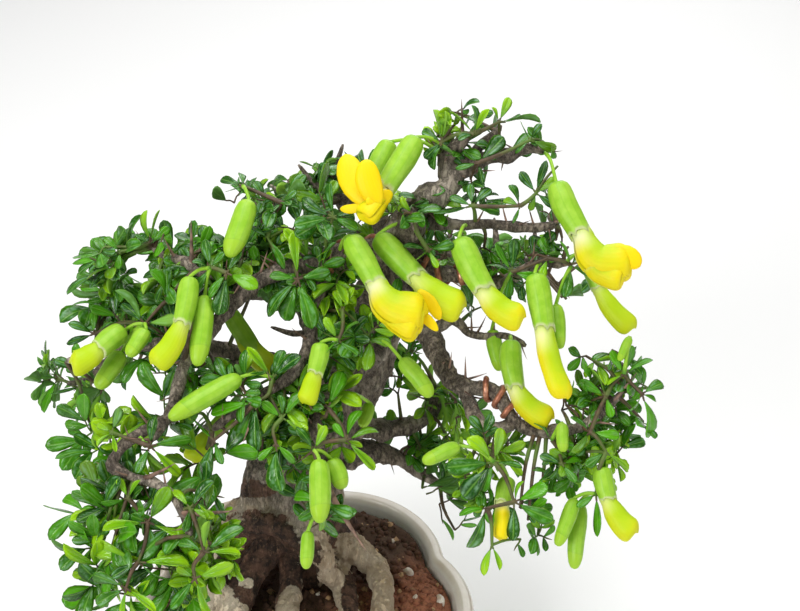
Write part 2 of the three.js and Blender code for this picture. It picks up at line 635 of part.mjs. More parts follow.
// The soil fills the pot, heaped to the trunk, and the roots stand in it.
function soilSolid(roots) {
  const profile = [
    [0, FLOOR + 1.5], [29, FLOOR + 1.5], [40.6, 25.4], [42, 31.8], [34, 33.4], [20, 34.8],
    [0, SOIL_HEAP],
  ];
  const relief = (radius, angle, height) => {
    if (height < SOIL_SURFACE) return 0;
    return 0.7 * Math.sin(5 * angle + radius * 0.4) + 0.5 * Math.sin(radius * 0.9 + 3 * angle);
  };
  return oneBody(lobed(profile, relief).subtract(roots));
}

// Wood: trunk, roots, branches and thorns in one body
const limbCurves = {};

function addLimb(name, table, place, sides, stepsEach) {
  const points = table.map(place);
  const radii = table.map((row) => row[row.length - 1]);
  limbCurves[name] = { points, radii, steps: (table.length - 1) * stepsEach, sides };
}

addLimb("trunk", TRUNK, atWorld, 8, 1);
for (const [name, table] of Object.entries(ROOTS)) addLimb("root_" + name, table, atWorld, 5, 1);
for (const [name, table] of Object.entries(BACK_LIMBS)) addLimb(name, table, atWorld, 4, 1);
for (const [name, table] of Object.entries(LIMBS)) addLimb(name, table, seen, 4, 1);

const bareLimb = ({ points, radii, sides, steps }, extra = 0) =>
  limbSolid(points, radii, sides, steps, extra);
const limbSolids = Object.values(limbCurves).map((limb) => keepPlace(bareLimb(limb)));

const rootSpace = joined(
  Object.entries(limbCurves)
    .filter(([name]) => name.startsWith("root_") || name === "trunk")
    .map(([, limb]) => bareLimb(limb, GAP + 0.1)),
);

// The point of the wood's surface nearest to `from`, and the way out from the limb there.
function nearestOnWood(from) {
  let best = { gap: Infinity };
  for (const { points, radii, steps } of Object.values(limbCurves)) {
    for (const ring of ringsAlong(points, radii, 3 * steps)) {
      const gap = ring.centre.distanceTo(from) - ring.radius;
      if (gap < best.gap) best = { gap, ring };
    }
  }
  const { centre, radius } = best.ring;
  const way = from.clone().sub(centre).normalize();
  const room = GAP + FACET_ROOM;
  const seats = SEATS.map((share) => centre.clone().addScaledVector(way, share * radius + room));
  return seats.find((seat) => isClear(beadSolid(seat, PEDICEL_RADIUS + GAP))) ?? seats.at(-1);
}

// Shares of a limb's radius: between its corners a flat-sided limb is thinner than its ring.
const SEATS = [0.7, 0.8, 0.9, 1];

function beadSolid(centre, radius) {
  const bead = new THREE.OctahedronGeometry(radius, 0);
  return solidOf(bead.translate(centre.x, centre.y, centre.z));
}

// Wires: a round rod wound round a limb, just clear of it
const WIRE_RINGS = 200;
const SIDES_A_TURN = 6;

function wireSolid([name, from, to, turns]) {
  const limb = limbCurves[name];
  const rings = ringsAlong(limb.points, limb.radii, WIRE_RINGS);
  const count = Math.round(turns * SIDES_A_TURN);
  const path = [];
  for (let i = 0; i <= count; i++) {
    const ring = rings[Math.round(WIRE_RINGS * THREE.MathUtils.lerp(from, to, i / count))];
    const angle = (i / count) * turns * 2 * Math.PI;
    const reach = ring.radius + WIRE_RADIUS + GAP + FACET_ROOM;
    path.push(
      ring.centre
        .clone()
        .addScaledVector(ring.side, reach * Math.cos(angle))
        .addScaledVector(ring.across, reach * Math.sin(angle)),
    );
  }
  return limbSolid(path, path.map(() => WIRE_RADIUS), 4, count);
}

// A petal: a blade, thickest along its rib, from just behind `base` to `tip`.
function bladeSolid(base, tip, face, width, extra = 0) {
  const along = tip.clone().sub(base);
  const length = along.length();
  along.normalize();
  const up = face.clone().addScaledVector(along, -face.dot(along)).normalize();
  const across = along.clone().cross(up);
  const outline = [[1 + extra / length, 0], [0.9, 0.33], [0.64, 0.5], [0.3, 0.3], [-0.9 / length, 0]];
  return solidOf(
    reshaped(new THREE.SphereGeometry(1, 8, 2), ({ x, y, z }) => {
      const eighth = Math.round((4 * Math.atan2(z, x)) / Math.PI);
      const onRib = Math.abs(y) > 0.5;
      const [share, half] = onRib ? [0.52, 0] : outline[Math.abs(eighth)];
      const side = Math.sign(eighth) * (half * width + (half ? extra : 0));
      const cup = 0.22 * Math.abs(side) - 0.1 * length * share * share;
      const thick = onRib ? Math.sign(y) * (LEAFLET_THICK / 2 + extra) : 0;
      return base
        .clone()
        .addScaledVector(along, share * length)
        .addScaledVector(across, side)
        .addScaledVector(up, cup + thick);
    }),
  );
}

// Half of a leaflet's obovate outline: [share of its length, share of its width]
const LEAFLET_SIDE = [0.56, 0.47];
const LEAFLET_END = [0.96, 0.25];
const RIB_START = 0.24;
const RIB_THICK = 1.4;

// A rosette: leaflets that spread round `axis` from one cushion, in a single star-shaped solid.
// Each leaflet is roofed on both faces from its rib, and thins out to its edges.
function rosetteSolid(centre, axis, tips, extra = 0) {
  const east = (Math.abs(axis.z) < 0.9 ? UP : SIGHT).clone().cross(axis).normalize();
  const north = axis.clone().cross(east);
  const outAt = (turn) =>
    east.clone().multiplyScalar(Math.cos(turn)).addScaledVector(north, Math.sin(turn));
  const blades = tips.map((tip) => {
    const way = tip.clone().sub(centre);
    return { way, turn: Math.atan2(way.dot(north), way.dot(east)) };
  });
  spreadTurns(blades);

  const corners = [];
  const faces = [];
  const corner = (along, across, rise) => {
    corners.push(centre.clone().add(along).add(across).addScaledVector(axis, rise));
    return corners.length - 1;
  };
  const none = new THREE.Vector3();
  const height = CORE_RADIUS + extra;
  const poles = [corner(none, none, height), corner(none, none, -height)];
  // A face over three corners, and its twin underneath
  const pair = (above, below) => faces.push(...above, below[0], below[2], below[1]);
  const notchAt = (turn) => corner(outAt(turn).multiplyScalar(height), none, 0);

  const gaps = blades.map((blade, k) => {
    const next = blades[(k + 1) % blades.length].turn + (k + 1 === blades.length ? 2 * Math.PI : 0);
    const count = Math.max(1, Math.round((next - blade.turn) / NOTCH_ROOM));
    return Array.from({ length: count }, (_, n) =>
      notchAt(THREE.MathUtils.lerp(blade.turn, next, (n + 0.5) / count)),
    );
  });
  blades.forEach(({ way, turn }, k) => {
    const rise = way.dot(axis);
    const reach = Math.sqrt(Math.max(way.lengthSq() - rise * rise, 4)) + extra;
    const out = outAt(turn);
    const across = axis.clone().cross(out);
    const width = Math.min(LEAFLET_WIDTH * way.length(), WIDEST_LEAFLET);
    const edge = ([share, half], side) =>
      corner(
        out.clone().multiplyScalar(share * reach),
        across.clone().multiplyScalar(side * (half * width + extra)),
        share * rise + 0.25 * half * width,
      );
    const ribPlace = out.clone().multiplyScalar(RIB_START * reach);
    const ribThick = RIB_THICK / 2 + extra;
    const rib = [1, -1].map((face) => corner(ribPlace, none, RIB_START * rise + face * ribThick));
    const before = gaps[(k + gaps.length - 1) % gaps.length].at(-1);
    const after = gaps[k][0];
    const left = [edge(LEAFLET_SIDE, -1), edge(LEAFLET_END, -1)];
    const right = [edge(LEAFLET_END, 1), edge(LEAFLET_SIDE, 1)];
    const rim = [before, ...left, ...right, after];
    pair([poles[0], before, rib[0]], [poles[1], before, rib[1]]);
    pair([poles[0], rib[0], after], [poles[1], rib[1], after]);
    for (let n = 0; n + 1 < rim.length; n++) {
      pair([rib[0], rim[n], rim[n + 1]], [rib[1], rim[n], rim[n + 1]]);
    }
    for (let n = 0; n + 1 < gaps[k].length; n++) {
      pair([poles[0], gaps[k][n], gaps[k][n + 1]], [poles[1], gaps[k][n], gaps[k][n + 1]]);
    }
  });
  const form = new THREE.BufferGeometry().setFromPoints(corners).setIndex(faces);
  return solidOf(form);
}

// Turns round the axis, kept far enough apart for the leaflets not to cross
function spreadTurns(blades) {
  const room = Math.min(LEAFLET_ROOM, (2 * Math.PI) / blades.length - 0.02);
  blades.sort((a, b) => a.turn - b.turn);
  for (let round = 0; round < 60; round++) {
    blades.forEach((blade, k) => {
      const next = blades[(k + 1) % blades.length];
      const wrap = k + 1 === blades.length ? 2 * Math.PI : 0;
      const lack = room - (next.turn + wrap - blade.turn);
      if (lack <= 0 || blades.length === 1) return;
      blade.turn -= lack / 2;
      next.turn += lack / 2;
    });
  }
  return blades;
}

// Calyces and buds share one form: a plump tube that hangs from a thin pedicel.
function calyxParts(places, radius, tipShare, extra = 0) {
  const radii = [0.45, 0.95, 1, tipShare].map((share) => share * radius);
  const curve = new THREE.CatmullRomCurve3(places);
  const body = [0, 0.3, 0.68, 1].map((t) => curve.getPoint(t));
  return limbSolid(body, radii, FLOWER_SIDES, 3, extra);
}

function pedicelFrom(start, base, next, extra = 0) {
  const into = next.clone().sub(base).setLength(1.6).add(base);
  return limbSolid([start, into], [PEDICEL_RADIUS, PEDICEL_RADIUS], 3, 1, extra);
}

// The yellow part of a flower: a keel that swells from the calyx mouth, and its petals
function corollaSolid({ keel, keelRadii, petals }, extra = 0) {
  const places = keel.map(seen);
  const mouth = places[0];
  const back = places[1];
  const pouch = limbSolid(places, keelRadii, FLOWER_SIDES, 3, extra, 0.8);
  const blades = petals.map(([across, down, depth, width]) => {
    const tip = seen([across, down, depth]);
    const root = mouth.clone().lerp(back, 0.35);
    return bladeSolid(root, tip, SIGHT.clone().negate().addScaledVector(UP, 0.6), width, extra);
  });
  return joined([pouch, ...blades]);
}

const nodes = {};

function addNode(name, solid, colour, roughness, metalness = 0) {
  nodes[name] = { solid: oneBody(solid), colour, roughness, metalness };
}

for (const [name, row] of Object.entries(WIRES)) {
  addNode(name, keepPlace(wireSolid(row)), COLOURS.copper, 0.45, 0.8);
}

// Nudges, smallest first, that bring a piece clear of what is in place.
const NUDGES = [];
for (const depth of [0, -1.5, 1.5, -3, 3, -4.5, 4.5]) {
  for (const x of [0, -1.5, 1.5, -3, 3]) {
    for (const rise of [0, 1.5, -1.5, 3, -3]) {
      NUDGES.push(new THREE.Vector3(x, 0, 0).addScaledVector(SIGHT, depth).addScaledVector(SIGHT_UP, rise));
    }
  }
}
NUDGES.sort((a, b) => a.length() - b.length());

// The first form that is clear of the rest, from a maker that takes a nudge and a spare width.
function clearForm(name, make) {
  for (const nudge of NUDGES) {
    if (isClear(make(nudge, GAP))) return make(nudge, 0);
  }
  throw new Error(name + " has no clear place");
}

for (const [name, bloom] of Object.entries({ ...BLOOMS, ...SIDE_BLOOMS })) {
  const petals = clearForm(name + "_petals", (nudge, extra) => moved(corollaSolid(bloom, extra), nudge));
  addNode(name + "_petals", keepPlace(petals), COLOURS.petal, 0.6);
}

// A calyx on its pedicel, from the nearest wood
function calyxOnWood(places, radius, nudge, extra) {
  const hung = places.map((place) => seen(place).add(nudge));
  const start = nearestOnWood(hung[0].clone().addScaledVector(UP, 3));
  const pedicel = pedicelFrom(start, hung[0], hung[1], extra);
  return calyxParts(hung, radius, CALYX_LIP, extra).add(pedicel);
}

for (const [name, { calyx, radius }] of Object.entries(BLOOMS)) {
  const made = clearForm(name + "_calyx", (nudge, extra) => calyxOnWood(calyx, radius, nudge, extra));
  addNode(name + "_calyx", keepPlace(made), COLOURS.calyx, 0.55);
}

const hidden = clearForm("bloom_14", (nudge, extra) => {
  const { calyx, radius, keel } = HIDDEN_BLOOM;
  const green = calyxOnWood([...calyx, keel[1]], radius, nudge, extra);
  return green.add(moved(corollaSolid(HIDDEN_BLOOM, extra), nudge));
});
addNode("bloom_14", keepPlace(hidden), COLOURS.petal, 0.6);

// A straight stretch of stem between two places
function stretchSolid(from, to, extra = 0) {
  return limbSolid([from, to], [STEM_RADIUS, STEM_RADIUS - 0.05], 3, 1, extra);
}

const nearestOf = (places, to) =>
  places.reduce((best, next) => (next.distanceTo(to) < best.distanceTo(to) ? next : best));

// Grows a chain of rosette cores from the wood, or from the stem's own earlier cores.
function growShoot(name, wanted, cores) {
  const solids = [];
  let from = cores.length ? nearestOf(cores, wanted[0]) : null;
  for (const place of wanted) {
    const start = from;
    let centre = null;
    let stretch = null;
    clearForm(name + " rosette " + (cores.length + 1), (nudge, extra) => {
      centre = place.clone().add(nudge);
      stretch = stretchSolid(start ?? nearestOnWood(centre), centre, extra);
      return stretch.add(beadSolid(centre, CORE_RADIUS + extra));
    });
    solids.push(stretch);
    cores.push(centre);
    from = centre;
  }
  return solids;
}

// Tips of leaflets, each tilted nearer or farther until it is clear of the rest, or left out.
const TILTS = [0, 2.5, -2.5, 5, -5, 7.5, -7.5];

function clearTips(centre, tips, face) {
  return tips.flatMap((tip) => {
    for (const tilt of TILTS) {
      const turned = tip.clone().addScaledVector(SIGHT, tilt);
      const wide = LEAFLET_WIDTH * centre.distanceTo(turned);
      const width = THREE.MathUtils.clamp(wide, NARROWEST_LEAFLET, WIDEST_LEAFLET);
      if (isClear(bladeSolid(centre, turned, face, width, 2 * GAP))) return [turned];
    }
    return [];
  });
}

function clearRosette(centre, axis, tips) {
  const kept = clearTips(centre, tips, axis);
  while (kept.length && !isClear(rosetteSolid(centre, axis, kept, GAP))) {
    kept.pop();
  }
  return kept.length ? rosetteSolid(centre, axis, kept) : beadSolid(centre, CORE_RADIUS);
}

const FACE = SIGHT.clone().multiplyScalar(-0.8).addScaledVector(UP, 0.5).normalize();

// A bud or calyx that hangs from the nearest core of a leafy stem
function hangOn(cores, name, places, radius, tipShare) {
  return clearForm(name, (nudge, extra) => {
    const hung = places.map((place) => place.clone().add(nudge));
    const above = hung[0].clone().addScaledVector(UP, 2);
    const pedicel = pedicelFrom(nearestOf(cores, above), hung[0], hung[1], extra);
    return calyxParts(hung, radius, tipShare, extra).add(pedicel);
  });
}

let draws = 0;

for (const [name, { shoots, buds = [], blooms = [] }] of Object.entries(SPRAYS)) {
  const cores = [];
  const solids = shoots.flatMap((rosettes) => growShoot(name, rosettes.map(([at]) => seen(at)), cores));
  for (const bud of buds) {
    const [base, tip, radius] = BUDS[bud];
    solids.push(hangOn(cores, bud, [seen(base), seen(tip)], radius, 0.2));
  }
  for (const bloom of blooms) {
    const { calyx, radius } = SIDE_BLOOMS[bloom];
    solids.push(hangOn(cores, bloom, calyx.map(seen), radius, CALYX_LIP));
  }
  shoots.flat().forEach(([at, ...tips], i) => {
    const nudge = cores[i].clone().sub(seen(at));
    const ends = tips.map(([across, down]) =>
      seen([across, down, at[2] + 6 * (draw(7, draws++) - 0.5)]).add(nudge),
    );
    solids.push(clearRosette(cores[i], FACE, ends));
  });
  addNode(name, keepPlace(joined(solids)), COLOURS.leaf, 0.4);
}

// The rule for the other sides: a fan of rosettes round the limb's end, leaflets all round each.
const FAN = [[4, 0, 2], [-7, 14, 5], [-9, -13, 6], [13, 3, -7]];

for (const [name, [limb, count, leaflets, seed]] of Object.entries(RULED_SPRAYS)) {
  const { points, radii, steps } = limbCurves[limb];
  const end = ringsAlong(points, radii, steps).at(-1).centre;
  const outwards = end.clone().sub(CROWN_MIDDLE).normalize();
  const sideways = outwards.clone().cross(UP).normalize();
  const cores = [];
  const solids = FAN.slice(0, count).flatMap(([out, side, rise], i) => {
    const sway = [0, 1, 2].map((k) => 6 * (draw(seed, 3 * i + k) - 0.5));
    const wanted = end.clone().addScaledVector(outwards, out).addScaledVector(sideways, side);
    return growShoot(name, [wanted.addScaledVector(UP, rise).add(atWorld(sway))], cores);
  });
  cores.forEach((centre, i) => {
    const out = centre.clone().sub(CROWN_MIDDLE).normalize();
    const side = out.clone().cross(UP).normalize();
    const top = side.clone().cross(out);
    const tips = [];
    for (let k = 0; k < leaflets; k++) {
      const angle = ((k + draw(seed, 50 + i)) / leaflets) * 2 * Math.PI;
      const length = 7.5 + 3 * draw(seed, 100 + 10 * i + k);
      tips.push(
        centre
          .clone()
          .addScaledVector(side, length * Math.cos(angle))
          .addScaledVector(top, length * Math.sin(angle))
          .addScaledVector(out, 0.35 * length),
      );
    }
    solids.push(clearRosette(centre, out.clone().addScaledVector(UP, 0.6).normalize(), tips));
  });
  addNode(name, keepPlace(joined(solids)), COLOURS.leaf, 0.4);
}

// Thorns that are clear of the rest are fused to their limb.
const notWood = placed.slice(limbSolids.length);
const thorns = [];
for (const [limb, share, ...tip] of THORNS) {
  const { points, radii, steps } = limbCurves[limb];
  const ring = ringsAlong(points, radii, steps * 4)[Math.round(share * steps * 4)];
  const end = seen(tip);
  const form = (extra) => limbSolid([ring.centre, end], [THORN_RADIUS, extra], 3, 1, extra);
  const room = form(GAP);
  if (notWood.every(({ solid }) => solid.intersect(room).volume() < TOUCH)) thorns.push(form(0));
}
addNode("wood", joined([...limbSolids, ...thorns]), COLOURS.bark, 0.9);
addNode("soil", soilSolid(rootSpace), COLOURS.soil, 1);
addNode("drain_mesh", drainMeshSolid(), COLOURS.mesh, 0.8);
addNode("pot", potSolid(), COLOURS.glaze, 0.35);

// The scene graph: each piece sits at its own middle, in the group that it belongs to.
function meshOf(name, { solid, colour, roughness, metalness }) {
  const made = solid.getMesh();
  const geometry = new THREE.BufferGeometry();
  geometry.setAttribute("position", new THREE.BufferAttribute(new Float32Array(made.vertProperties), 3));
  geometry.setIndex(new THREE.BufferAttribute(new Uint32Array(made.triVerts), 1));
  geometry.computeBoundingBox();
  const middle = geometry.boundingBox.getCenter(new THREE.Vector3()).round();
  geometry.translate(-middle.x, -middle.y, -middle.z);
  const material = new THREE.MeshStandardMaterial({ color: colour, roughness, metalness });
  const mesh = new THREE.Mesh(geometry, material);
  mesh.name = name;
  mesh.position.copy(middle);
  return mesh;
}

const bonsai = new THREE.Group();
for (const names of [/^(pot|drain_mesh|soil)$/, /^(wood|wire_.*)$/, /^bloom_/, /^spray_/]) {
  const group = new THREE.Group();
  for (const [name, node] of Object.entries(nodes)) {
    if (names.test(name)) group.add(meshOf(name, node));
  }
  bonsai.add(group);
}

export default bonsai;
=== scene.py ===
"""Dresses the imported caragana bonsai: glazed pot, soil, bark, wire, flowers and leaves."""

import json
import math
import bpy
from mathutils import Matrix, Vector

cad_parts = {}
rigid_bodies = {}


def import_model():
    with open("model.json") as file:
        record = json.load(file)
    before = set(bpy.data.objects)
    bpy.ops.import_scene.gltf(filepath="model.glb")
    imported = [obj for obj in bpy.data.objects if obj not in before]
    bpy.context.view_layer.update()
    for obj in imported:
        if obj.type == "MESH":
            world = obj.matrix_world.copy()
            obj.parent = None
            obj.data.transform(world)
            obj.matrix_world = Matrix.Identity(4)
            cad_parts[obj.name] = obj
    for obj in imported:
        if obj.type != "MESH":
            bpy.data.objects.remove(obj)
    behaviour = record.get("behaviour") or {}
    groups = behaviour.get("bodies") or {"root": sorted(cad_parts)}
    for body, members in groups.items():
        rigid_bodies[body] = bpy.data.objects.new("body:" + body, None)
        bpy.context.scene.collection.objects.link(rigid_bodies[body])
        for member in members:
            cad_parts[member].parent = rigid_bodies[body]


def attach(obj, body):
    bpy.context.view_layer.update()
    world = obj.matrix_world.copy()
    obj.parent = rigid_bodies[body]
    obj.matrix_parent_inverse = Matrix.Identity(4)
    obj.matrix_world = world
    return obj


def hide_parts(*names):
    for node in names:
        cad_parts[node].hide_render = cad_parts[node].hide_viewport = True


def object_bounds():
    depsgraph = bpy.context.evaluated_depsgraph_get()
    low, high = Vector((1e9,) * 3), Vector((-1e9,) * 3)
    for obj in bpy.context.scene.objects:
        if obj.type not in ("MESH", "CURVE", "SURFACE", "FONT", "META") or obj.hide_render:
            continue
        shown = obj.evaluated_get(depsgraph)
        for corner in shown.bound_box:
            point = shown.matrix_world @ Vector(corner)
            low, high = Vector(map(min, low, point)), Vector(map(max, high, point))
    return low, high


bl_info = {
    "name": "Caragana Bonsai",
    "version": (1, 0, 0),
    "blender": (4, 5, 0),
    "location": "3D View > Sidebar > Bonsai",
    "description": "Pot, soil, wood, wire, flowers and leaves of a small caragana bonsai in bloom",
    "category": "Object",
}

import bmesh
import bpy
import numpy as np
from bpy.props import FloatProperty, FloatVectorProperty, IntProperty, PointerProperty
from mathutils import Matrix, Vector, kdtree, noise

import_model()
CAD_BOX = [list(corner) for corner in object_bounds()]
MM = 0.001

# The pot and the soil, in millimetres
POT_HEIGHT = 35
POT_LOBES = 5
LOBE_OFFSET = 17
LOBE_RADIUS = 31
FIRST_LOBE = math.radians(59)
RIM_REACH = LOBE_OFFSET + LOBE_RADIUS
FOOT_REACH = 0.95
BASE_ROUNDNESS = 0.45
DRAIN_HOLES = 3
DRAIN_RADIUS = 3
DRAIN_CIRCLE = 14
DRILL_ENDS = (-5, 12)
SOIL_HEAP = 36
SOIL_EDGE = 42
SOIL_LEVEL = 33.5
ROOT_TOP = 68

# The line of sight that branch, leaf and flower places are given on: [across, down, depth].
# Across and down are picture places, depth is millimetres behind the plane through TARGET.
PICTURE_WIDTH = 800
PICTURE_MIDDLE = (400, 305.5)
FOCAL = 1419
DISTANCE = 330
ELEVATION = math.radians(33)
TARGET = np.array([27.3, -7.4, 135.5])
SIGHT = np.array([0, math.cos(ELEVATION), -math.sin(ELEVATION)])
SIGHT_UP = np.array([0, math.sin(ELEVATION), math.cos(ELEVATION)])
CROWN_MIDDLE = np.array([12, 6, 112])
ACROSS = np.array([1.0, 0, 0])
UP = np.array([0, 0, 1.0])
FACE = -0.8 * SIGHT + 0.5 * UP

# Roots, trunk and the limbs at the back: [x, y, z, radius]
ROOTS = {
    "core": [[2, 7, 60, 9], [2, 8, 46, 7], [1, 7, 26, 5.6]],
    "left": [[-4, 5, 63, 7], [-17, 4, 58, 5.8], [-24, 2, 48, 5], [-23, -4, 40, 4.4], [-24, -12, 28, 3.4]],
    "left_back": [[-3, 10, 61, 6], [-15, 17, 51, 5], [-24, 23, 40, 4], [-27, 25, 28, 3]],
    "front_left": [[-4, 6, 56, 5], [-12, 1, 45, 4.2], [-17, -11, 38, 3.6], [-19, -23, 28, 2.8]],
    "front": [[0, 8, 54, 4.5], [-2, 2, 43, 3.8], [-3, -9, 39, 3.3], [-3, -20, 35, 3], [-2, -27, 27, 2.6]],
    "finger": [
      [8, 9, 50, 4.6], [18, 8, 42, 3.8], [21.5, 4, 39.5, 3.6], [22.5, -4, 37, 3.4], [22, -14, 35, 3],
      [22, -21, 26, 2.4],
    ],
    "diagonal": [
      [3, 11, 54, 5], [7, 12, 43, 4.2], [10, 5, 38.5, 3.6], [13, -5, 37, 3.4], [15, -15, 34, 3],
      [15, -21, 27, 2.6],
    ],
    "brow": [
      [-14, 2, 61, 4.2], [-5, -2.5, 65, 4], [1, -4, 62, 3.8],
      [5.5, -4.5, 56, 3.5], [8, -2, 46, 3.2], [10, 3, 38, 3],
    ],
    "shoulder": [[4, 6, 92, 5], [-3, 5.5, 82, 6.2], [-8, 5, 73, 6.5], [-9, 4, 63, 6.5]],
    "back_right": [[5, 12, 56, 5.2], [8, 22, 44, 4.2], [12, 29, 35, 3.2], [14, 32, 27, 2.6]],
    "back": [[-2, 13, 58, 5.6], [-5, 24, 46, 4.6], [-7, 30, 35, 3.4], [-8, 32, 27, 2.6]],
}

TRUNK = [
    [2, 7, 50, 7.5], [1.5, 6, 59, 10.5], [1.5, 5.6, 69, 11], [5.6, 7, 81, 8.3], [13.4, 8.6, 94, 6.6],
    [19.5, 8.9, 106, 5.8], [22, 8.9, 115, 5.2], [24.5, 8.7, 126, 4.7], [25.6, 8.2, 137, 4.4],
    [27, 7, 147, 4.2], [33, 7.2, 155, 3.7], [38.5, 7.4, 158.5, 3.2], [39.5, 9.5, 162.5, 2.7],
]

BACK_LIMBS = {
    "back_left": [
      [16, 9, 98, 4], [8, 20, 103, 3], [-1, 31, 113, 2.3], [-19, 38, 110, 1.7], [-30, 49, 103, 1],
    ],
    "back_middle": [
      [21, 9, 112, 3.6], [18, 24, 120, 2.6], [26, 36, 127, 1.8], [22, 50, 121, 1.3], [14, 57, 112, 0.9],
    ],
    "back_right": [
      [24, 9, 122, 3.2], [35, 19, 131, 2.3], [49, 25, 127, 1.7], [57, 36, 122, 1.3], [70, 40, 111, 0.9],
    ],
    "back_top": [[26, 8, 140, 3], [21, 19, 145, 2.1], [10, 29, 144, 1.5], [-3, 42, 136, 0.9]],
    "left_middle": [
      [15, 9, 96, 3.8], [-4, 14, 103, 2.7], [-24, 9, 113, 2], [-43, 15, 108, 1.4], [-55, 11, 97, 0.9],
    ],
}

# The limbs that the line of sight reaches: [across, down, depth, radius]
LIMBS = {
    "apex": [
      [455, 188, 0, 2.9], [450, 174, 0, 2.7], [446, 158, -1, 2.2], [455, 148, -2, 1.7], [468, 137, -3, 1],
    ],
    "apex_right": [
      [450, 174, 0, 2.2], [467, 170, -1, 1.9], [486, 158, -2, 1.6], [507, 155, -2, 1.4], [530, 148, -3, 1.2],
      [545, 152, -3, 0.9],
    ],
    "apex_twig": [[464, 165, -1, 1.4], [480, 146, 0, 1.1], [495, 134, 1, 0.9], [501, 125, 1, 0.7]],
    "crown_right": [
      [430, 222, 2, 2], [460, 225, -1, 1.3], [485, 224, -2, 1.1], [515, 227, -3, 1.15], [540, 227, -4, 1.1],
      [556, 225, -4, 1],
    ],
    "right_middle": [
      [398, 250, 6, 3.2], [414, 256, 3, 2.6], [431, 271, 2, 2.2], [446, 274, 1, 2], [470, 279, 0, 1.8],
      [492, 282, 0, 1.6], [508, 280, -1, 1.4], [527, 268, -2, 1.2], [545, 263, -3, 1.1], [563, 265, -4, 0.9],
    ],
    "right_main": [
      [388, 302, 15, 3.8], [410, 316, 11, 3.2], [429, 336, 8, 2.8], [443, 366, 5, 2.5], [453, 381, 4, 2.3],
      [470, 387, 2, 1.8], [487, 389, 0, 1.7], [500, 397, -1, 1.6], [508, 411, -2, 1.6], [518, 424, -2, 1.6],
      [538, 431, -3, 1.5], [562, 432, -4, 1.4], [586, 424, -4, 1.2], [606, 409, -4, 1], [622, 392, -4, 0.8],
    ],
    "right_loop": [
      [455, 382, 4, 1.9], [467, 396, 3, 1.6], [475, 415, 1, 1.5], [485, 427, -1, 1.4], [502, 428, -2, 1.4],
      [514, 422, -2, 1.4],
    ],
    "dark_twig": [
      [428, 334, 9, 1.8], [453, 320, 6, 1.1], [468, 333, 6, 1], [484, 336, 5, 1], [505, 336, 5, 0.9],
      [526, 346, 4, 0.7],
    ],
    "left_main": [
      [388, 252, 6, 3.6], [360, 253, 3, 2.8], [330, 258, 0, 2.5], [300, 266, -2, 2.2], [278, 272, -3, 2.1],
      [251, 285, -4, 1.9], [233, 303, -5, 1.8], [206, 335, -7, 1.6], [184, 365, -9, 1.4],
      [177, 392, -11, 1.3], [166, 420, -12, 1.2], [152, 440, -13, 1],
    ],
    "upper_left": [
      [252, 284, -4, 1.6], [225, 276, -4, 1.3], [199, 272, -4, 1.2], [185, 262, -3, 1.1], [167, 257, -2, 0.9],
      [152, 248, -1, 0.8],
    ],
    "far_left": [
      [208, 333, -7, 1.5], [170, 343, -3, 1.3], [130, 348, 2, 1.2], [95, 352, 6, 1], [66, 362, 9, 0.8],
    ],
    "lower_left": [
      [166, 420, -12, 1.3], [130, 440, -13, 1.3], [112, 464, -13, 1.3], [132, 477, -14, 1.2],
      [152, 482, -15, 1.2], [171, 494, -17, 1.1], [183, 514, -19, 1], [191, 536, -20, 0.8],
    ],
    "left_inner": [
      [330, 258, 0, 1.8], [322, 290, 0, 1.6], [313, 325, -1, 1.4], [300, 365, -4, 1.3], [277, 386, -6, 1.2],
      [258, 396, -7, 1.1], [238, 410, -9, 1], [212, 430, -10, 0.8],
    ],
    "centre_low": [
      [374, 350, 24, 3.4], [352, 374, 12, 2.4], [331, 396, 2, 1.9], [316, 418, -5, 1.5], [319, 442, -8, 1.2],
      [324, 464, -9, 1], [327, 488, -10, 0.8],
    ],
    "back_low": [
      [345, 452, 42, 4.5], [372, 452, 46, 2.8], [398, 458, 50, 2.2], [422, 474, 50, 1.7],
      [440, 485, 50, 1.2],
    ],
    "back_bend": [
      [352, 424, 38, 4], [384, 430, 44, 2.6], [412, 424, 47, 2.1], [432, 412, 48, 1.7],
      [438, 390, 48, 1.2],
    ],
    "dead_stub": [[404, 238, 2, 4.4], [409, 227, -3, 4], [411, 218, -7, 3]],
}

# Thorns: [limb, share of its length, across, down, depth of the tip]
THORNS = [
    ["apex_right", 1, 563, 152, -3], ["apex", 0.9, 461, 99, -4], ["apex", 0.35, 424, 138, 0],
    ["crown_right", 0.55, 500, 200, -3], ["crown_right", 0.75, 527, 205, -5],
    ["crown_right", 0.9, 551, 243, -6], ["right_middle", 0.85, 568, 300, -5],
    ["right_middle", 0.5, 480, 301, -2], ["right_middle", 1, 591, 262, -6],
    ["right_main", 0.95, 640, 372, -6], ["right_main", 0.74, 541, 405, -5],
    ["dark_twig", 0.5, 488, 316, 3], ["left_main", 0.72, 196, 313, -12],
    ["upper_left", 0.5, 192, 219, -6], ["upper_left", 1, 135, 232, 2],
    ["lower_left", 0.85, 238, 514, -22], ["lower_left", 0.5, 178, 466, -20],
    ["left_inner", 0.7, 244, 444, -12], ["left_inner", 0.35, 290, 330, -8],
    ["centre_low", 1, 364, 553, -12], ["far_left", 0.5, 122, 318, -2],
]

# Copper wire wound on the limbs: [limb, from share, to share, turns]
WIRES = {
    "wire_right": ["right_main", 0.41, 0.58, 2.5],
    "wire_crown": ["left_main", 0.02, 0.2, 2],
    "wire_middle": ["right_middle", 0.14, 0.42, 2.5],
}
WIRE_RADIUS = 0.68
WIRE_STEPS = 22

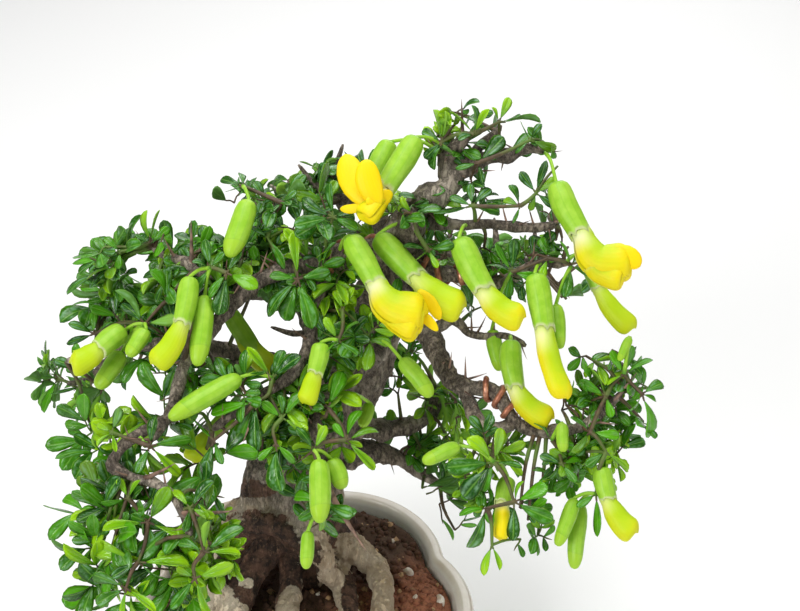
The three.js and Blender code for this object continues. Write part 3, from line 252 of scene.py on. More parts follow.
# Flowers: pedicel and calyx run base to mouth, the corolla's keel goes on from the mouth.
# Each point is [across, down, depth]; petals are [tip across, tip down, tip depth, width].
# The keel's radii are those at its mouth and at its fullest.
BLOOMS = {
    "bloom_01": {
      "calyx": [[417, 137, -6], [402, 162, -8], [385, 188, -10]], "radius": 2.9,
      "keel": [[383, 190, -10], [372, 200, -12], [358, 216, -14]], "keel_radii": [2, 2.6],
      "petals": [[352, 155, -9, 13], [341, 186, -15, 9], [379, 210, -18, 8], [340, 208, -13, 6]],
    },
    "bloom_02": {
      "calyx": [[390, 142, 4], [382, 158, 2], [372, 178, 0]], "radius": 2.6,
      "keel": [[371, 181, 0], [364, 192, -2], [354, 200, -4]], "keel_radii": [1.8, 2.1],
      "petals": [[352, 192, -2, 7]],
    },
    "bloom_03": {
      "calyx": [[350, 236, -9], [362, 258, -11], [376, 283, -13]], "radius": 2.8,
      "keel": [[377, 286, -13], [392, 308, -15], [412, 338, -18]], "keel_radii": [2.4, 3.6],
      "petals": [[427, 312, -14, 13], [392, 338, -20, 11], [430, 330, -21, 9], [372, 310, -12, 6]],
    },
    "bloom_04": {
      "calyx": [[377, 236, -4], [396, 256, -6], [416, 277, -8]], "radius": 3,
      "keel": [[418, 279, -8], [438, 297, -9], [465, 311, -10]], "keel_radii": [2.6, 3.9],
      "petals": [[467, 298, -9, 9], [440, 318, -12, 6]],
    },
    "bloom_05": {
      "calyx": [[459, 238, -8], [470, 264, -10], [484, 290, -12]], "radius": 3.1,
      "keel": [[486, 293, -12], [501, 310, -13], [525, 321, -14]], "keel_radii": [2.6, 3.5],
      "petals": [[528, 312, -13, 8]],
    },
    "bloom_06": {
      "calyx": [[535, 273, -9], [540, 300, -10], [544, 327, -11]], "radius": 2.8,
      "keel": [[544, 330, -11], [551, 364, -12], [565, 401, -13]], "keel_radii": [2.3, 3.1],
      "petals": [[556, 403, -10, 7]],
    },
    "bloom_07": {
      "calyx": [[556, 182, -8], [566, 208, -10], [580, 233, -12]], "radius": 3,
      "keel": [[582, 236, -12], [596, 260, -14], [618, 278, -16]], "keel_radii": [2.6, 3.8],
      "petals": [[639, 262, -15, 12], [626, 284, -19, 8], [608, 284, -10, 7]],
    },
    "bloom_08": {
      "calyx": [[588, 254, 2], [592, 270, 1], [599, 288, 0]], "radius": 2.2,
      "keel": [[600, 291, 0], [614, 312, -1], [634, 331, -2]], "keel_radii": [1.9, 2.9],
      "petals": [[637, 322, 0, 7]],
    },
    "bloom_09": {
      "calyx": [[511, 340, 0], [511, 363, -2], [515, 386, -3]], "radius": 2.6,
      "keel": [[516, 389, -3], [529, 408, -4], [553, 422, -5]], "keel_radii": [2.2, 3],
      "petals": [[557, 415, -4, 8]],
    },
}

# Flowers half hidden among the leaves: their calyx grows on the leafy stem named with them.
SIDE_BLOOMS = {
    "bloom_10": {
      "calyx": [[601, 467, -8], [604, 483, -9], [608, 499, -10]], "radius": 2.3,
      "keel": [[609, 502, -10], [620, 521, -11], [636, 536, -12]], "keel_radii": [2, 2.9],
      "petals": [[641, 528, -10, 7]],
    },
    "bloom_11": {
      "calyx": [[190, 277, -10], [187, 300, -12], [182, 323, -14]], "radius": 2.4,
      "keel": [[181, 326, -14], [170, 348, -15], [153, 367, -16]], "keel_radii": [2.1, 2.9],
      "petals": [[149, 361, -14, 7]],
    },
    "bloom_12": {
      "calyx": [[124, 331, -6], [112, 338, -8], [99, 349, -10]], "radius": 2.8,
      "keel": [[97, 351, -10], [84, 360, -11], [70, 366, -12]], "keel_radii": [2.3, 3],
      "petals": [[68, 358, -11, 8]],
    },
    "bloom_13": {
      "calyx": [[508, 478, -2], [505, 490, -4], [502, 503, -6]], "radius": 2.1,
      "keel": [[502, 506, -6], [502, 522, -8], [500, 541, -9]], "keel_radii": [1.8, 2.6],
      "petals": [[494, 540, -9, 6]],
    },
    "bloom_15": {
      "calyx": [[321, 343, -8], [319, 358, -9], [315, 373, -10]], "radius": 2.2,
      "keel": [[314, 376, -10], [310, 390, -11], [305, 405, -12]], "keel_radii": [1.9, 2.3],
      "petals": [[299, 404, -11, 5]],
    },
    "bloom_16": {
      "calyx": [[232, 414, 2], [222, 423, 1], [212, 433, 0]], "radius": 2.3,
      "keel": [[210, 435, 0], [200, 446, 0], [190, 462, -1]], "keel_radii": [1.9, 2.7],
      "petals": [[184, 458, 0, 6]],
    },
}

# The flower behind the left limbs, one body with its calyx
HIDDEN_BLOOM = {
    "calyx": [[228, 308, 12], [236, 323, 11]],
    "radius": 2.3,
    "keel": [[247, 343, 10], [259, 358, 9], [276, 371, 8]],
    "keel_radii": [2, 2.8],
    "petals": [[281, 364, 8, 7]],
}

# Closed buds: calyx-shaped, [base, tip, radius]
BUDS = {
    "bud_01": [[249, 200, -6], [229, 257, -11], 2.7],
    "bud_02": [[205, 295, -8], [197, 366, -13], 2.5],
    "bud_03": [[241, 377, -10], [169, 419, -16], 2.6],
    "bud_04": [[319, 459, -13], [320, 523, -18], 2.5],
    "bud_05": [[331, 459, -9], [343, 489, -11], 2.2],
    "bud_06": [[308, 531, -12], [306, 569, -15], 1.6],
    "bud_07": [[401, 359, -6], [431, 397, -9], 2.2],
    "bud_08": [[459, 446, -10], [423, 462, -14], 1.9],
    "bud_09": [[556, 304, -6], [560, 349, -9], 1.8],
    "bud_10": [[492, 329, 6], [500, 371, 4], 1.9],
    "bud_11": [[575, 498, -6], [557, 546, -9], 1.8],
    "bud_12": [[580, 502, -2], [574, 569, -5], 2.1],
    "bud_13": [[562, 423, -9], [563, 452, -11], 1.5],
    "bud_14": [[630, 337, -6], [619, 361, -8], 1.1],
    "bud_15": [[146, 329, -10], [128, 356, -13], 2],
    "bud_16": [[370, 403, 14], [361, 427, 12], 1.7],
    "bud_17": [[122, 352, -2], [97, 388, -6], 2.4],
}

# Leafy stems. Each shoot is a chain of rosettes, the first of them grows from the wood.
# A rosette is [across, down, depth] and then the [across, down] tip of each leaflet.
SPRAYS = {
    "spray_far_left": { "shoots": [[
      [[150, 243, -2], [147, 210], [157, 209], [170, 228], [134, 235]],
      [[120, 252, -3], [104, 238], [97, 256], [118, 268]],
    ]] },
    "spray_left_side": { "blooms": ["bloom_12"], "buds": ["bud_15", "bud_17"], "shoots": [[
      [[168, 300, -6], [150, 270], [166, 266], [186, 292]],
      [[145, 324, -7], [122, 302], [157, 305], [175, 317], [150, 342], [115, 290]],
      [[94, 334, 4], [70, 322], [94, 310], [68, 344], [118, 322], [120, 346]],
    ]] },
    "spray_round_pair": { "blooms": ["bloom_11"], "buds": ["bud_02"], "shoots": [[
      [[227, 273, -10], [218, 315], [240, 250], [208, 296], [258, 288]],
      [[210, 268, -9], [192, 262], [205, 239], [195, 290], [224, 252]],
    ]] },
    "spray_top_left": { "buds": ["bud_01"], "shoots": [[
      [[268, 238, -4], [287, 268], [252, 226]],
      [[282, 203, -4], [264, 195], [270, 212], [296, 191], [300, 209]],
      [[243, 186, -3], [220, 178], [226, 193], [242, 171], [256, 195]],
    ]] },
    "spray_back_peak": { "shoots": [[
      [[320, 170, 26], [300, 160], [308, 184], [332, 150], [344, 172], [334, 192]],
    ]] },
    "spray_heart": { "shoots": [
      [
        [[298, 279, -8], [270, 275], [330, 271], [264, 314], [283, 322], [312, 329], [294, 231]],
      ],
      [
        [[333, 217, -9], [328, 183], [301, 201], [294, 225], [356, 207], [358, 230]],
      ],
    ] },
    "spray_sprout": { "blooms": ["bloom_15"], "buds": ["bud_07"], "shoots": [
      [
        [[371, 340, 3], [363, 304], [352, 343], [358, 371], [387, 328]],
      ],
      [
        [[343, 310, -6], [335, 289], [353, 287]],
        [[338, 340, -8], [325, 318], [359, 322], [325, 353], [357, 356]],
      ],
    ] },
    "spray_fork": { "shoots": [[
      [[428, 250, -8], [403, 243], [455, 244], [438, 268], [416, 262]],
      [[412, 214, -11], [402, 196], [440, 206], [426, 226]],
    ]] },
    "spray_apex": { "shoots": [
      [
        [[474, 134, -6], [452, 110], [472, 105], [489, 109], [458, 140]],
        [[499, 122, -3], [492, 107], [510, 97], [521, 117], [541, 122]],
      ],
      [
        [[442, 142, -5], [422, 131], [424, 158], [434, 170], [434, 109], [446, 111]],
      ],
    ] },
    "spray_apex_right": { "shoots": [[
      [[478, 163, -6], [456, 169], [484, 184], [504, 139], [460, 149]],
      [[530, 140, -6], [519, 122], [542, 124], [557, 150], [515, 152]],
    ]] },
    "spray_crown": { "shoots": [[
      [[472, 206, -7], [434, 216], [450, 196], [470, 184], [491, 187], [500, 212]],
      [[520, 206, -8], [503, 198], [509, 185], [514, 224]],
      [[536, 193, -8], [520, 172], [545, 160], [557, 180], [553, 206], [530, 211]],
    ]] },
    "spray_right_middle": { "buds": ["bud_09", "bud_10"], "shoots": [[
      [[512, 272, -6], [486, 262], [508, 298], [536, 276], [494, 244], [514, 238]],
      [[548, 258, -7], [540, 238], [540, 278]],
      [[571, 266, -7], [562, 240], [584, 243], [589, 274], [566, 297]],
    ]] },
    "spray_right_outer": { "blooms": ["bloom_10"], "buds": ["bud_11", "bud_12", "bud_14"], "shoots": [
      [
        [[590, 432, -8], [571, 452], [620, 436], [574, 416]],
        [[606, 452, -9], [603, 480], [628, 472], [585, 466]],
        [[596, 494, -8], [600, 537], [621, 512], [578, 506], [618, 484]],
      ],
      [
        [[606, 396, -6], [579, 381], [592, 366], [612, 418]],
        [[624, 374, -7], [610, 351], [632, 346], [652, 358], [606, 384]],
        [[642, 394, -7], [664, 381], [657, 400], [655, 437], [630, 414]],
      ],
    ] },
    "spray_right_inner": { "buds": ["bud_13"], "shoots": [[
      [[552, 440, -7], [534, 423], [574, 447]],
      [[562, 464, -9], [540, 455], [543, 480], [576, 482], [582, 458]],
    ]] },
    "spray_right_low": { "blooms": ["bloom_13"], "buds": ["bud_08"], "shoots": [
      [
        [[494, 462, -11], [467, 438], [502, 428], [523, 466], [482, 492], [462, 498], [446, 468]],
      ],
      [
        [[514, 502, -11], [514, 541], [553, 521], [524, 481], [549, 487]],
        [[487, 508, -12], [460, 512], [468, 548]],
        [[492, 545, -12], [482, 574], [500, 570]],
      ],
    ] },
    "spray_centre": { "buds": ["bud_04", "bud_05", "bud_06", "bud_16"], "shoots": [
      [
        [[328, 408, -7], [311, 384], [343, 371], [300, 398]],
        [[346, 440, -11], [379, 432], [375, 470], [357, 408], [334, 424]],
      ],
      [
        [[314, 450, -12], [298, 427], [326, 426], [294, 452]],
        [[322, 503, -12], [354, 516], [322, 532], [298, 519], [294, 497]],
      ],
    ] },
    "spray_centre_left": { "shoots": [[
      [[282, 418, -11], [279, 395], [304, 393], [308, 431], [262, 402]],
      [[276, 444, -13], [258, 459], [281, 492], [296, 462]],
    ]] },
    "spray_inner_left": { "buds": ["bud_03"], "blooms": ["bloom_16"], "shoots": [[
      [[272, 378, -8], [247, 347], [284, 350], [301, 356], [246, 378]],
      [[256, 402, -11], [210, 412], [238, 441], [254, 452]],
      [[214, 440, -12], [191, 420], [202, 480], [222, 464]],
    ]] },
    "spray_left_low": { "shoots": [[
      [[150, 446, -15], [156, 416], [192, 437], [180, 476], [136, 473], [128, 436]],
      [[112, 432, -15], [120, 408], [96, 424], [97, 446], [116, 452]],
    ]] },
    "spray_left_hang": { "shoots": [[
      [[128, 498, -16], [118, 478], [140, 480], [101, 505]],
      [[148, 522, -18], [169, 488], [155, 559], [188, 540], [102, 530]],
      [[138, 562, -18], [111, 577], [168, 584], [190, 566], [94, 545]],
      [[126, 588, -19], [96, 604], [124, 618], [156, 612], [94, 572]],
    ]] },
    "spray_left_front": { "shoots": [[
      [[190, 508, -20], [172, 487], [214, 481], [214, 517], [184, 532]],
      [[204, 552, -22], [207, 520], [244, 528], [241, 554], [178, 543]],
      [[195, 578, -22], [172, 609], [212, 616], [176, 568], [232, 566]],
    ]] },
}

# Leafy stems that the line of sight does not reach grow by rule round the end of a limb:
# [limb, rosettes, leaflets in each, seed]
RULED_SPRAYS = {
    "spray_back_left": ["back_left", 4, 5, 11],
    "spray_back_middle": ["back_middle", 4, 5, 23],
    "spray_back_right": ["back_right", 3, 5, 37],
    "spray_back_top": ["back_top", 3, 5, 41],
    "spray_left_middle": ["left_middle", 3, 5, 59],
    "spray_back_low": ["back_low", 2, 5, 61],
    "spray_back_bend": ["back_bend", 2, 5, 73],
}
# The fan of rosettes round a limb's end in a ruled spray: [out, side, rise]
FAN = [[4, 0, 2], [-7, 14, 5], [-9, -13, 6], [13, 3, -7]]

# Picture places round which the leaves are young and lime green: [across, down, radius]
YOUNG_SPOTS = [
    [150, 220, 17], [440, 120, 17], [503, 106, 15], [344, 303, 19], [362, 450, 24], [486, 452, 30],
    [612, 462, 24], [316, 442, 21], [215, 545, 33], [176, 462, 26], [105, 432, 24], [100, 545, 22],
    [140, 598, 26], [490, 560, 20], [371, 308, 15], [296, 245, 15], [606, 376, 12], [240, 345, 20],
    [425, 395, 26], [455, 430, 20], [360, 385, 16], [398, 200, 14], [515, 205, 12], [205, 575, 20],
]

# Rosettes between the tabled ones: [across, down, depth]
FILLING = [
    [105, 247, 0], [166, 231, -1], [119, 260, 2], [159, 282, -2], [201, 263, 0], [212, 244, 1],
    [242, 260, 1], [222, 266, 2], [261, 283, 1], [320, 170, 26], [340, 275, 0], [325, 292, 1],
    [412, 203, 0], [434, 207, 1], [446, 257, 3], [438, 122, 0], [432, 142, 1], [438, 165, 2],
    [480, 193, 0], [443, 217, 2], [562, 238, 0], [596, 387, 0], [605, 407, 1], [622, 363, 1],
    [648, 388, 0], [642, 420, 0], [584, 447, 1], [607, 436, 2], [512, 466, 0], [490, 475, 1],
    [466, 484, 1], [480, 495, 2], [530, 540, 40], [455, 530, 46], [452, 352, 40], [422, 440, 50],
    [440, 450, 52], [408, 446, 48], [292, 404, 0], [319, 394, 1], [342, 435, 0], [312, 420, 1],
    [342, 515, 0], [325, 519, 1], [305, 505, 1], [249, 427, 0], [198, 426, -2], [212, 432, -2],
    [210, 462, -6], [125, 500, -10], [147, 503, -9], [113, 527, -11], [205, 494, -12], [206, 511, -13],
    [190, 524, -13], [210, 574, -14], [105, 599, -12], [125, 594, -11], [104, 575, -12],
    [102, 546, -12], [172, 570, -12], [474, 310, 9], [484, 248, 2], [205, 364, 0], [190, 386, 0],
    [195, 414, -2], [180, 426, -2], [170, 455, -6], [188, 462, -6], [586, 356, 0], [566, 405, 0],
    [590, 472, 0], [612, 457, 0], [402, 366, 46], [416, 384, 48], [528, 520, -6], [538, 535, -4],
    [520, 508, -5], [560, 470, -3], [578, 480, -2], [565, 484, 0], [232, 438, -4], [262, 452, -4],
    [268, 440, -2], [490, 492, 2], [562, 410, 2], [556, 240, -1], [568, 247, 0], [398, 394, 44],
    [410, 350, 46], [426, 400, 48], [392, 376, 42], [446, 436, 46],
]

# Where more leaves grow behind: [across, down, half width, half height, rosettes, nearest depth]
THICKETS = [
    [180, 280, 85, 45, 22, 2], [140, 335, 60, 50, 12, 2], [290, 250, 60, 45, 13, 2],
    [330, 330, 30, 50, 7, 2], [190, 430, 100, 36, 7, -4], [150, 530, 60, 70, 3, -10],
    [215, 550, 30, 40, 5, -10], [305, 430, 40, 40, 6, -2], [460, 150, 30, 40, 1, 2],
    [415, 225, 25, 20, 3, 2], [530, 210, 30, 25, 2, 2], [520, 262, 50, 20, 4, 2],
    [615, 400, 36, 40, 3, 0], [520, 460, 60, 32, 6, -2], [500, 525, 36, 30, 3, -4],
]

# Flowers that have begun to open. Cornets are three places and the width at mouth and end,
# lobes are two places and a width.
OPEN_BLOOMS = {
    "bloom_01": {
        "cornets": [[[383, 190, -10], [374, 206, -13], [362, 221, -15], 2.1, 3.0]],
        "lobes": [
            [[372, 206, -14], [345, 154, -10], 3.3], [[379, 205, -15], [366, 159, -15], 2.9],
            [[366, 204, -14], [340, 209, -12], 1.1], [[392, 192, -12], [366, 202, -16], 1.9],
        ],
    },
    "bloom_03": {
        "cornets": [
            [[377, 286, -13], [391, 307, -15], [428, 318, -16], 2.7, 4.9],
            [[385, 300, -14], [397, 319, -16], [421, 332, -18], 2.6, 3.3],
        ],
        "lobes": [[[408, 309, -15], [438, 331, -15], 1.2]],
    },
    "bloom_04": {"lobes": [[[418, 290, -11], [440, 320, -12], 1.5]]},
    "bloom_07": {
        "cornets": [
            [[582, 236, -12], [597, 261, -14], [635, 263, -15], 2.7, 4.4],
            [[588, 252, -14], [600, 272, -15], [626, 281, -17], 2.6, 2.8],
        ],
        "lobes": [[[612, 250, -16], [640, 267, -17], 2.4]],
    },
}
# How far the hood of an open flower stands off at its end
HOODS = {"bloom_01": 0.1, "bloom_03": 0.05, "bloom_07": 0.05}
# The fuller or thinner bodies of some closed flowers, as a share of their own width
SLENDER = {"bloom_01": 1.12, "bloom_06": 0.86, "bloom_05": 0.96, "bloom_08": 0.94}

# Wood painted dark with shade and soil, and clean wood: [across, down, half width, half height, darkness]
WOOD_SHADE_AND_SOIL = [
    [262, 560, 46, 44, 0.9], [248, 490, 24, 9, 0.75], [318, 560, 22, 14, 0.7], [345, 520, 20, 14, 0.7],
    [350, 600, 8, 26, 0.8], [215, 600, 16, 16, 0], [246, 584, 7, 6, 0.25], [290, 602, 11, 14, 0],
    [230, 507, 16, 5, 0], [255, 503, 16, 5, 0], [280, 508, 16, 5, 0], [304, 519, 14, 6, 0],
    [328, 580, 7, 34, 0.1], [377, 590, 14, 24, 0],
]

# How green the petals still are, from 0 to 1
GREEN_BLOOMS = {
    "bloom_02": 0.5, "bloom_04": 0.6, "bloom_05": 0.25, "bloom_06": 0.1, "bloom_08": 0.8, "bloom_09": 0.2,
    "bloom_10": 0.6, "bloom_11": 0.8, "bloom_12": 0.85, "bloom_14": 0.7, "bloom_15": 0.85, "bloom_16": 0.8,
}

# The crown's outline in the picture, which no leaf grows out of: [across, down]
CROWN_OUTLINE = [
    [22, 330], [45, 270], [70, 245], [95, 238], [120, 226], [150, 208], [163, 216], [178, 236],
    [195, 222], [207, 214], [211, 178], [240, 172], [265, 178], [285, 180], [300, 168], [345, 150],
    [372, 150], [415, 140], [425, 126], [434, 108], [460, 101], [505, 94], [520, 110], [540, 126],
    [557, 146], [563, 182], [572, 226], [592, 240], [592, 262], [588, 300], [596, 340], [615, 345],
    [630, 334], [640, 350], [666, 378], [664, 400], [655, 440], [632, 456], [628, 480], [618, 520],
    [600, 545], [560, 545], [548, 562], [516, 560], [500, 575], [480, 577], [462, 552], [440, 542],
    [430, 500], [400, 466], [385, 440], [380, 470], [358, 500], [358, 532], [330, 540], [290, 535],
    [285, 500], [262, 470], [252, 456], [248, 500], [247, 560], [238, 640], [50, 640], [18, 600],
    [18, 420],
]

# Picture places that stay open between the leaves: [across, down, half width, half height]
OPEN_SPOTS = [
    [247, 320, 15, 24], [458, 348, 22, 26], [585, 322, 30, 24], [545, 330, 18, 70], [600, 230, 34, 40],
    [525, 385, 22, 34], [415, 168, 18, 22], [228, 215, 18, 26], [200, 340, 9, 12], [638, 300, 26, 36],
    [385, 484, 40, 20], [100, 350, 14, 30], [480, 378, 24, 18], [238, 474, 18, 24], [222, 335, 14, 16],
    [280, 334, 26, 20], [152, 388, 20, 13], [132, 264, 11, 9], [295, 214, 18, 8], [515, 133, 14, 12],
    [505, 172, 20, 15], [572, 276, 20, 12], [428, 505, 24, 24], [166, 520, 9, 22], [500, 226, 60, 9],
    [360, 215, 9, 9], [408, 405, 16, 8], [392, 443, 16, 11], [384, 406, 10, 7], [432, 373, 7, 9],
    [466, 423, 9, 6], [385, 370, 10, 4], [652, 405, 12, 18], [446, 513, 16, 14], [222, 490, 12, 12],
    [122, 485, 12, 10], [350, 428, 9, 6],
]


def linear(hex_colour):
    """A colour written as six hex digits, in the linear values that shaders take."""
    parts = [int(hex_colour[k : k + 2], 16) / 255 for k in (0, 2, 4)]
    return [((v + 0.055) / 1.055) ** 2.4 if v > 0.04045 else v / 12.92 for v in parts] + [1.0]


def colour_property(name, description, hex_colour):
    return FloatVectorProperty(
        name=name,
        description=description,
        subtype="COLOR",
        size=4,
        min=0,
        max=1,
        default=linear(hex_colour),
    )


def length_property(name, description, default, least):
    return FloatProperty(name=name, description=description, default=default, min=least, unit="LENGTH")


class BonsaiSizes(bpy.types.PropertyGroup):
    """Sizes and amounts that a user may change."""

    bark_grain: length_property("Bark Grain", "Spacing of the corners in the trunk's skin", 0.00065, 0.0004)
    bark_relief: length_property("Bark Relief", "Depth of the furrows in the old bark", 0.0009, 0)
    crumb_size: length_property("Soil Crumb", "Largest soil crumb, across", 0.0024, 0.0005)
    crumb_count: IntProperty(
        name="Soil Crumbs",
        description="Crumbs on a square centimetre of soil",
        default=42,
        min=1,
    )
    leaf_layers: IntProperty(
        name="Leaf Layers",
        description="Rosettes that grow behind each one at the front of the crown",
        default=1,
        min=0,
        max=4,
    )
    twig_spacing: length_property(
        "Twig Spacing", "Distance between the places of leaves along the inner branches", 0.0085, 0.003
    )
    thorn_length: length_property("Thorn Length", "Longest thorn on the young twigs", 0.0065, 0.001)


class BonsaiColours(bpy.types.PropertyGroup):
    """Colours that a user may change."""

    glaze: colour_property("Glaze", "Pale glaze of the pot", "E6E5DC")
    glaze_thin: colour_property("Thin Glaze", "Where the glaze runs thin over the rim", "B59B7C")
    soil_dark: colour_property("Dark Soil", "Soil behind the trunk", "4E3828")
    soil_red: colour_property("Red Soil", "Soil towards the right front", "A0664A")
    bark: colour_property("Bark", "Old bark of trunk and branches", "97897A")
    bark_light: colour_property("Bark Flakes", "Weathered flakes of the bark", "CFC2B0")
    root: colour_property("Roots", "Exposed roots", "F0E0C4")
    twig: colour_property("Twigs", "Young twigs and leaf stems", "66503A")
    copper: colour_property("Wire", "Copper-coloured bonsai wire", "CC8A6C")
    leaf: colour_property("Leaves", "Grown leaflets", "58A80E")
    leaf_deep: colour_property("Deep Leaves", "Darkest leaflets", "184C10")
    leaf_young: colour_property("Young Leaves", "Leaflets of this spring", "A6D814")
    calyx: colour_property("Calyx", "Calyces and buds", "8FC42A")
    petal: colour_property("Petals", "Yellow of the flowers", "F8E40C")
    petal_green: colour_property("Petal Flush", "Green flush on the petals' backs", "B4D414")
    petal_pale: colour_property("Petal Base", "Pale base of the petals", "F0F2B4")


def sizes():
    return bpy.context.scene.bonsai_sizes


def colours():
    return bpy.context.scene.bonsai_colours


# Places and curves, in millimetres
def seen(place):
    """The point of the line of sight at [across, down, depth]."""
    across, down, depth = place[:3]
    scale = (DISTANCE + depth) / FOCAL
    across_mm = (across - PICTURE_MIDDLE[0]) * scale
    up_mm = (PICTURE_MIDDLE[1] - down) * scale
    return TARGET + ACROSS * across_mm + SIGHT_UP * up_mm + SIGHT * depth


def pictured(points):
    """Where one or more points show in the picture: across, down, and their depth."""
    ways = np.asarray(points) - TARGET
    depth = ways @ SIGHT
    scale = FOCAL / (DISTANCE + depth)
    return PICTURE_MIDDLE[0] + ways[..., 0] * scale, PICTURE_MIDDLE[1] - (ways @ SIGHT_UP) * scale, depth


def draw(seed, n):
    """Even, repeatable draws between 0 and 1."""
    wave = math.sin(seed * 12.9898 + n * 78.233) * 43758.5453
    return wave - math.floor(wave)


def unit(way):
    way = np.asarray(way, float)
    return way / max(np.linalg.norm(way), 1e-9)


def smooth_rows(rows, steps):
    """Rows of numbers on a smooth curve through the given ones, with `steps` between each two."""
    rows = np.asarray(rows, float)
    ends = np.vstack([2 * rows[0] - rows[1], rows, 2 * rows[-1] - rows[-2]])
    made = []
    for a, b, c, d in zip(ends, ends[1:], ends[2:], ends[3:]):
        for t in np.arange(steps) / steps:
            bend = (2 * a - 5 * b + 4 * c - d) * t * t + (3 * b - 3 * c + d - a) * t**3
            made.append(0.5 * (2 * b + (c - a) * t + bend))
    return np.array(made + [rows[-1]])


def even_rows(rows, count):
    """`count` rows at even distances along a curve, whose first three columns are places."""
    rows = smooth_rows(rows, 12)
    gaps = np.linalg.norm(np.diff(rows[:, :3], axis=0), axis=1)
    along = np.concatenate([[0], np.cumsum(gaps)])
    wanted = np.linspace(0, along[-1], count)
    return np.column_stack([np.interp(wanted, along, column) for column in rows.T])


def frames(path, back=None):
    """Along, side and across directions for each place of a path, without twist."""
    along = np.gradient(path, axis=0)
    along /= np.linalg.norm(along, axis=1)[:, None]
    side = np.cross(UP, along[0]) if back is None else np.array(back, float)
    if np.linalg.norm(side) < 0.1:
        side = ACROSS.copy()
    sides = []
    for way in along:
        guide = side if back is None else np.array(back, float)
        side = unit(guide - (guide @ way) * way)
        sides.append(side)
    sides = np.array(sides)
    return along, sides, np.cross(along, sides)


def tube_rows(path, radii, angles, flat=1.0, back=None):
    """Rings of corners round a path, at the given angles from the side direction."""
    _, side, across = frames(path, back)
    angles = np.asarray(angles)
    radii = np.broadcast_to(np.asarray(radii, float), (len(path),))
    flat = np.broadcast_to(np.asarray(flat, float), (len(path),))
    swing = side[:, None] * np.cos(angles)[None, :, None]
    swing = swing + across[:, None] * np.sin(angles)[None, :, None] * flat[:, None, None]
    return path[:, None] + swing * radii[:, None, None]


def round_angles(sides):
    return np.linspace(-math.pi, math.pi, sides, endpoint=False)


class Form:
    """Corners in millimetres, faces and UVs, gathered before they become a mesh.

    The level is added to v, so that a finish can tell the parts of a piece apart.
    """

    def __init__(self):
        self.corners = []
        self.faces = []
        self.uvs = []
        self.level = 0.0

    def face(self, corners, uvs, flip=False):
        self.faces.append(corners[::-1] if flip else corners)
        self.uvs.extend(uvs[::-1] if flip else uvs)

    def grid(self, rows, wrap=False, flip=False, shift=0.0):
        """Faces over rows of corners. UVs run from 0 to 1, u across and v along the rows."""
        rows = np.asarray(rows, float)
        height, width = rows.shape[:2]
        start = len(self.corners)
        self.corners.extend(rows.reshape(-1, 3))
        columns = width if wrap else width - 1
        for i in range(height - 1):
            low, high = (self.level + (i + step) / (height - 1) for step in (0, 1))
            for j in range(columns):
                near = start + i * width
                after = (j + 1) % width
                left, right = shift + j / columns, shift + (j + 1) / columns
                corners = [near + j, near + after, near + width + after, near + width + j]
                uvs = [(left, low), (right, low), (right, high), (left, high)]
                self.face(corners, uvs, flip)
        return start

    def tube(self, rows):
        """A closed tube: a wrapped grid with a fan over each end."""
        rows = np.asarray(rows, float)
        width = rows.shape[1]
        start = self.grid(rows, wrap=True)
        for row, first, level, flip in ((rows[0], start, 0.0, True), (rows[-1], None, 1.0, False)):
            ring = start + (len(rows) - 1) * width if first is None else first
            pole = len(self.corners)
            self.corners.append(row.mean(axis=0))
            for j in range(width):
                after = (j + 1) % width
                left, right = j / width, (j + 1) / width
                uvs = [(across, self.level + level) for across in ((left + right) / 2, left, right)]
                self.face([pole, ring + j, ring + after], uvs, flip)

    def sheet(self, rows, thickness):
        """A thin closed sheet over a grid of corners, thickest in its middle. Its underside has u over 1."""
        rows = np.asarray(rows, float)
        lengthwise = np.gradient(rows, axis=0)
        crosswise = np.gradient(rows, axis=1)
        normals = np.cross(crosswise, lengthwise)
        normals /= np.maximum(np.linalg.norm(normals, axis=2), 1e-9)[:, :, None]
        height, width = rows.shape[:2]
        u = np.linspace(-1, 1, width)[None, :]
        v = np.linspace(-1, 1, height)[:, None]
        body = np.sqrt(np.clip((1 - u**2) * (1 - v**8), 0, 1))[:, :, None] * thickness / 2
        self.grid(rows + normals * body)
        self.grid(rows - normals * body, flip=True, shift=2.0)

    def mesh(self, name, unit_size=MM):
        made = bpy.data.meshes.new(name)
        made.from_pydata(np.array(self.corners) * unit_size, [], self.faces)
        made.uv_layers.new(name="UVMap").data.foreach_set("uv", np.array(self.uvs, np.float32).ravel())
        work = bmesh.new()
        work.from_mesh(made)
        bmesh.ops.remove_doubles(work, verts=work.verts, dist=0.002 * unit_size)
        bmesh.ops.dissolve_degenerate(work, edges=work.edges, dist=0.001 * unit_size)
        work.to_mesh(made)
        work.free()
        made.shade_smooth()
        return made


def mark(mesh, name, values):
    """Gives each corner of a mesh its value of a named attribute."""
    mesh.attributes.new(name, "FLOAT", "POINT").data.foreach_set("value", values)


def shown(name, mesh, material=None):
    """A piece at the origin in the scene, with its place in its mesh."""
    if material is not None:
        mesh.materials.clear()
        mesh.materials.append(material)
    made = bpy.data.objects.new(name, mesh)
    bpy.context.scene.collection.objects.link(made)
    return made


def finished(piece, slot, *nodes):
    """Hands a piece to the frame: it rides on the tree's one body and stands for these nodes."""
    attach(piece, "root")
    if nodes:
        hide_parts(*nodes)
    return piece


def merged(name, pieces):
    """Several pieces as one object that keeps their materials."""
    first = pieces[0]
    if len(pieces) > 1:
        with bpy.context.temp_override(active_object=first, selected_editable_objects=pieces):
            bpy.ops.object.join()
    first.name = name
    first.data.name = name
    return first


def applied(piece):
    """A piece with its modifiers made part of a plain mesh."""
    graph = bpy.context.evaluated_depsgraph_get()
    mesh = bpy.data.meshes.new_from_object(
        piece.evaluated_get(graph), preserve_all_data_layers=True, depsgraph=graph
    )
    name = piece.name
    bpy.data.objects.remove(piece)
    return shown(name, mesh)


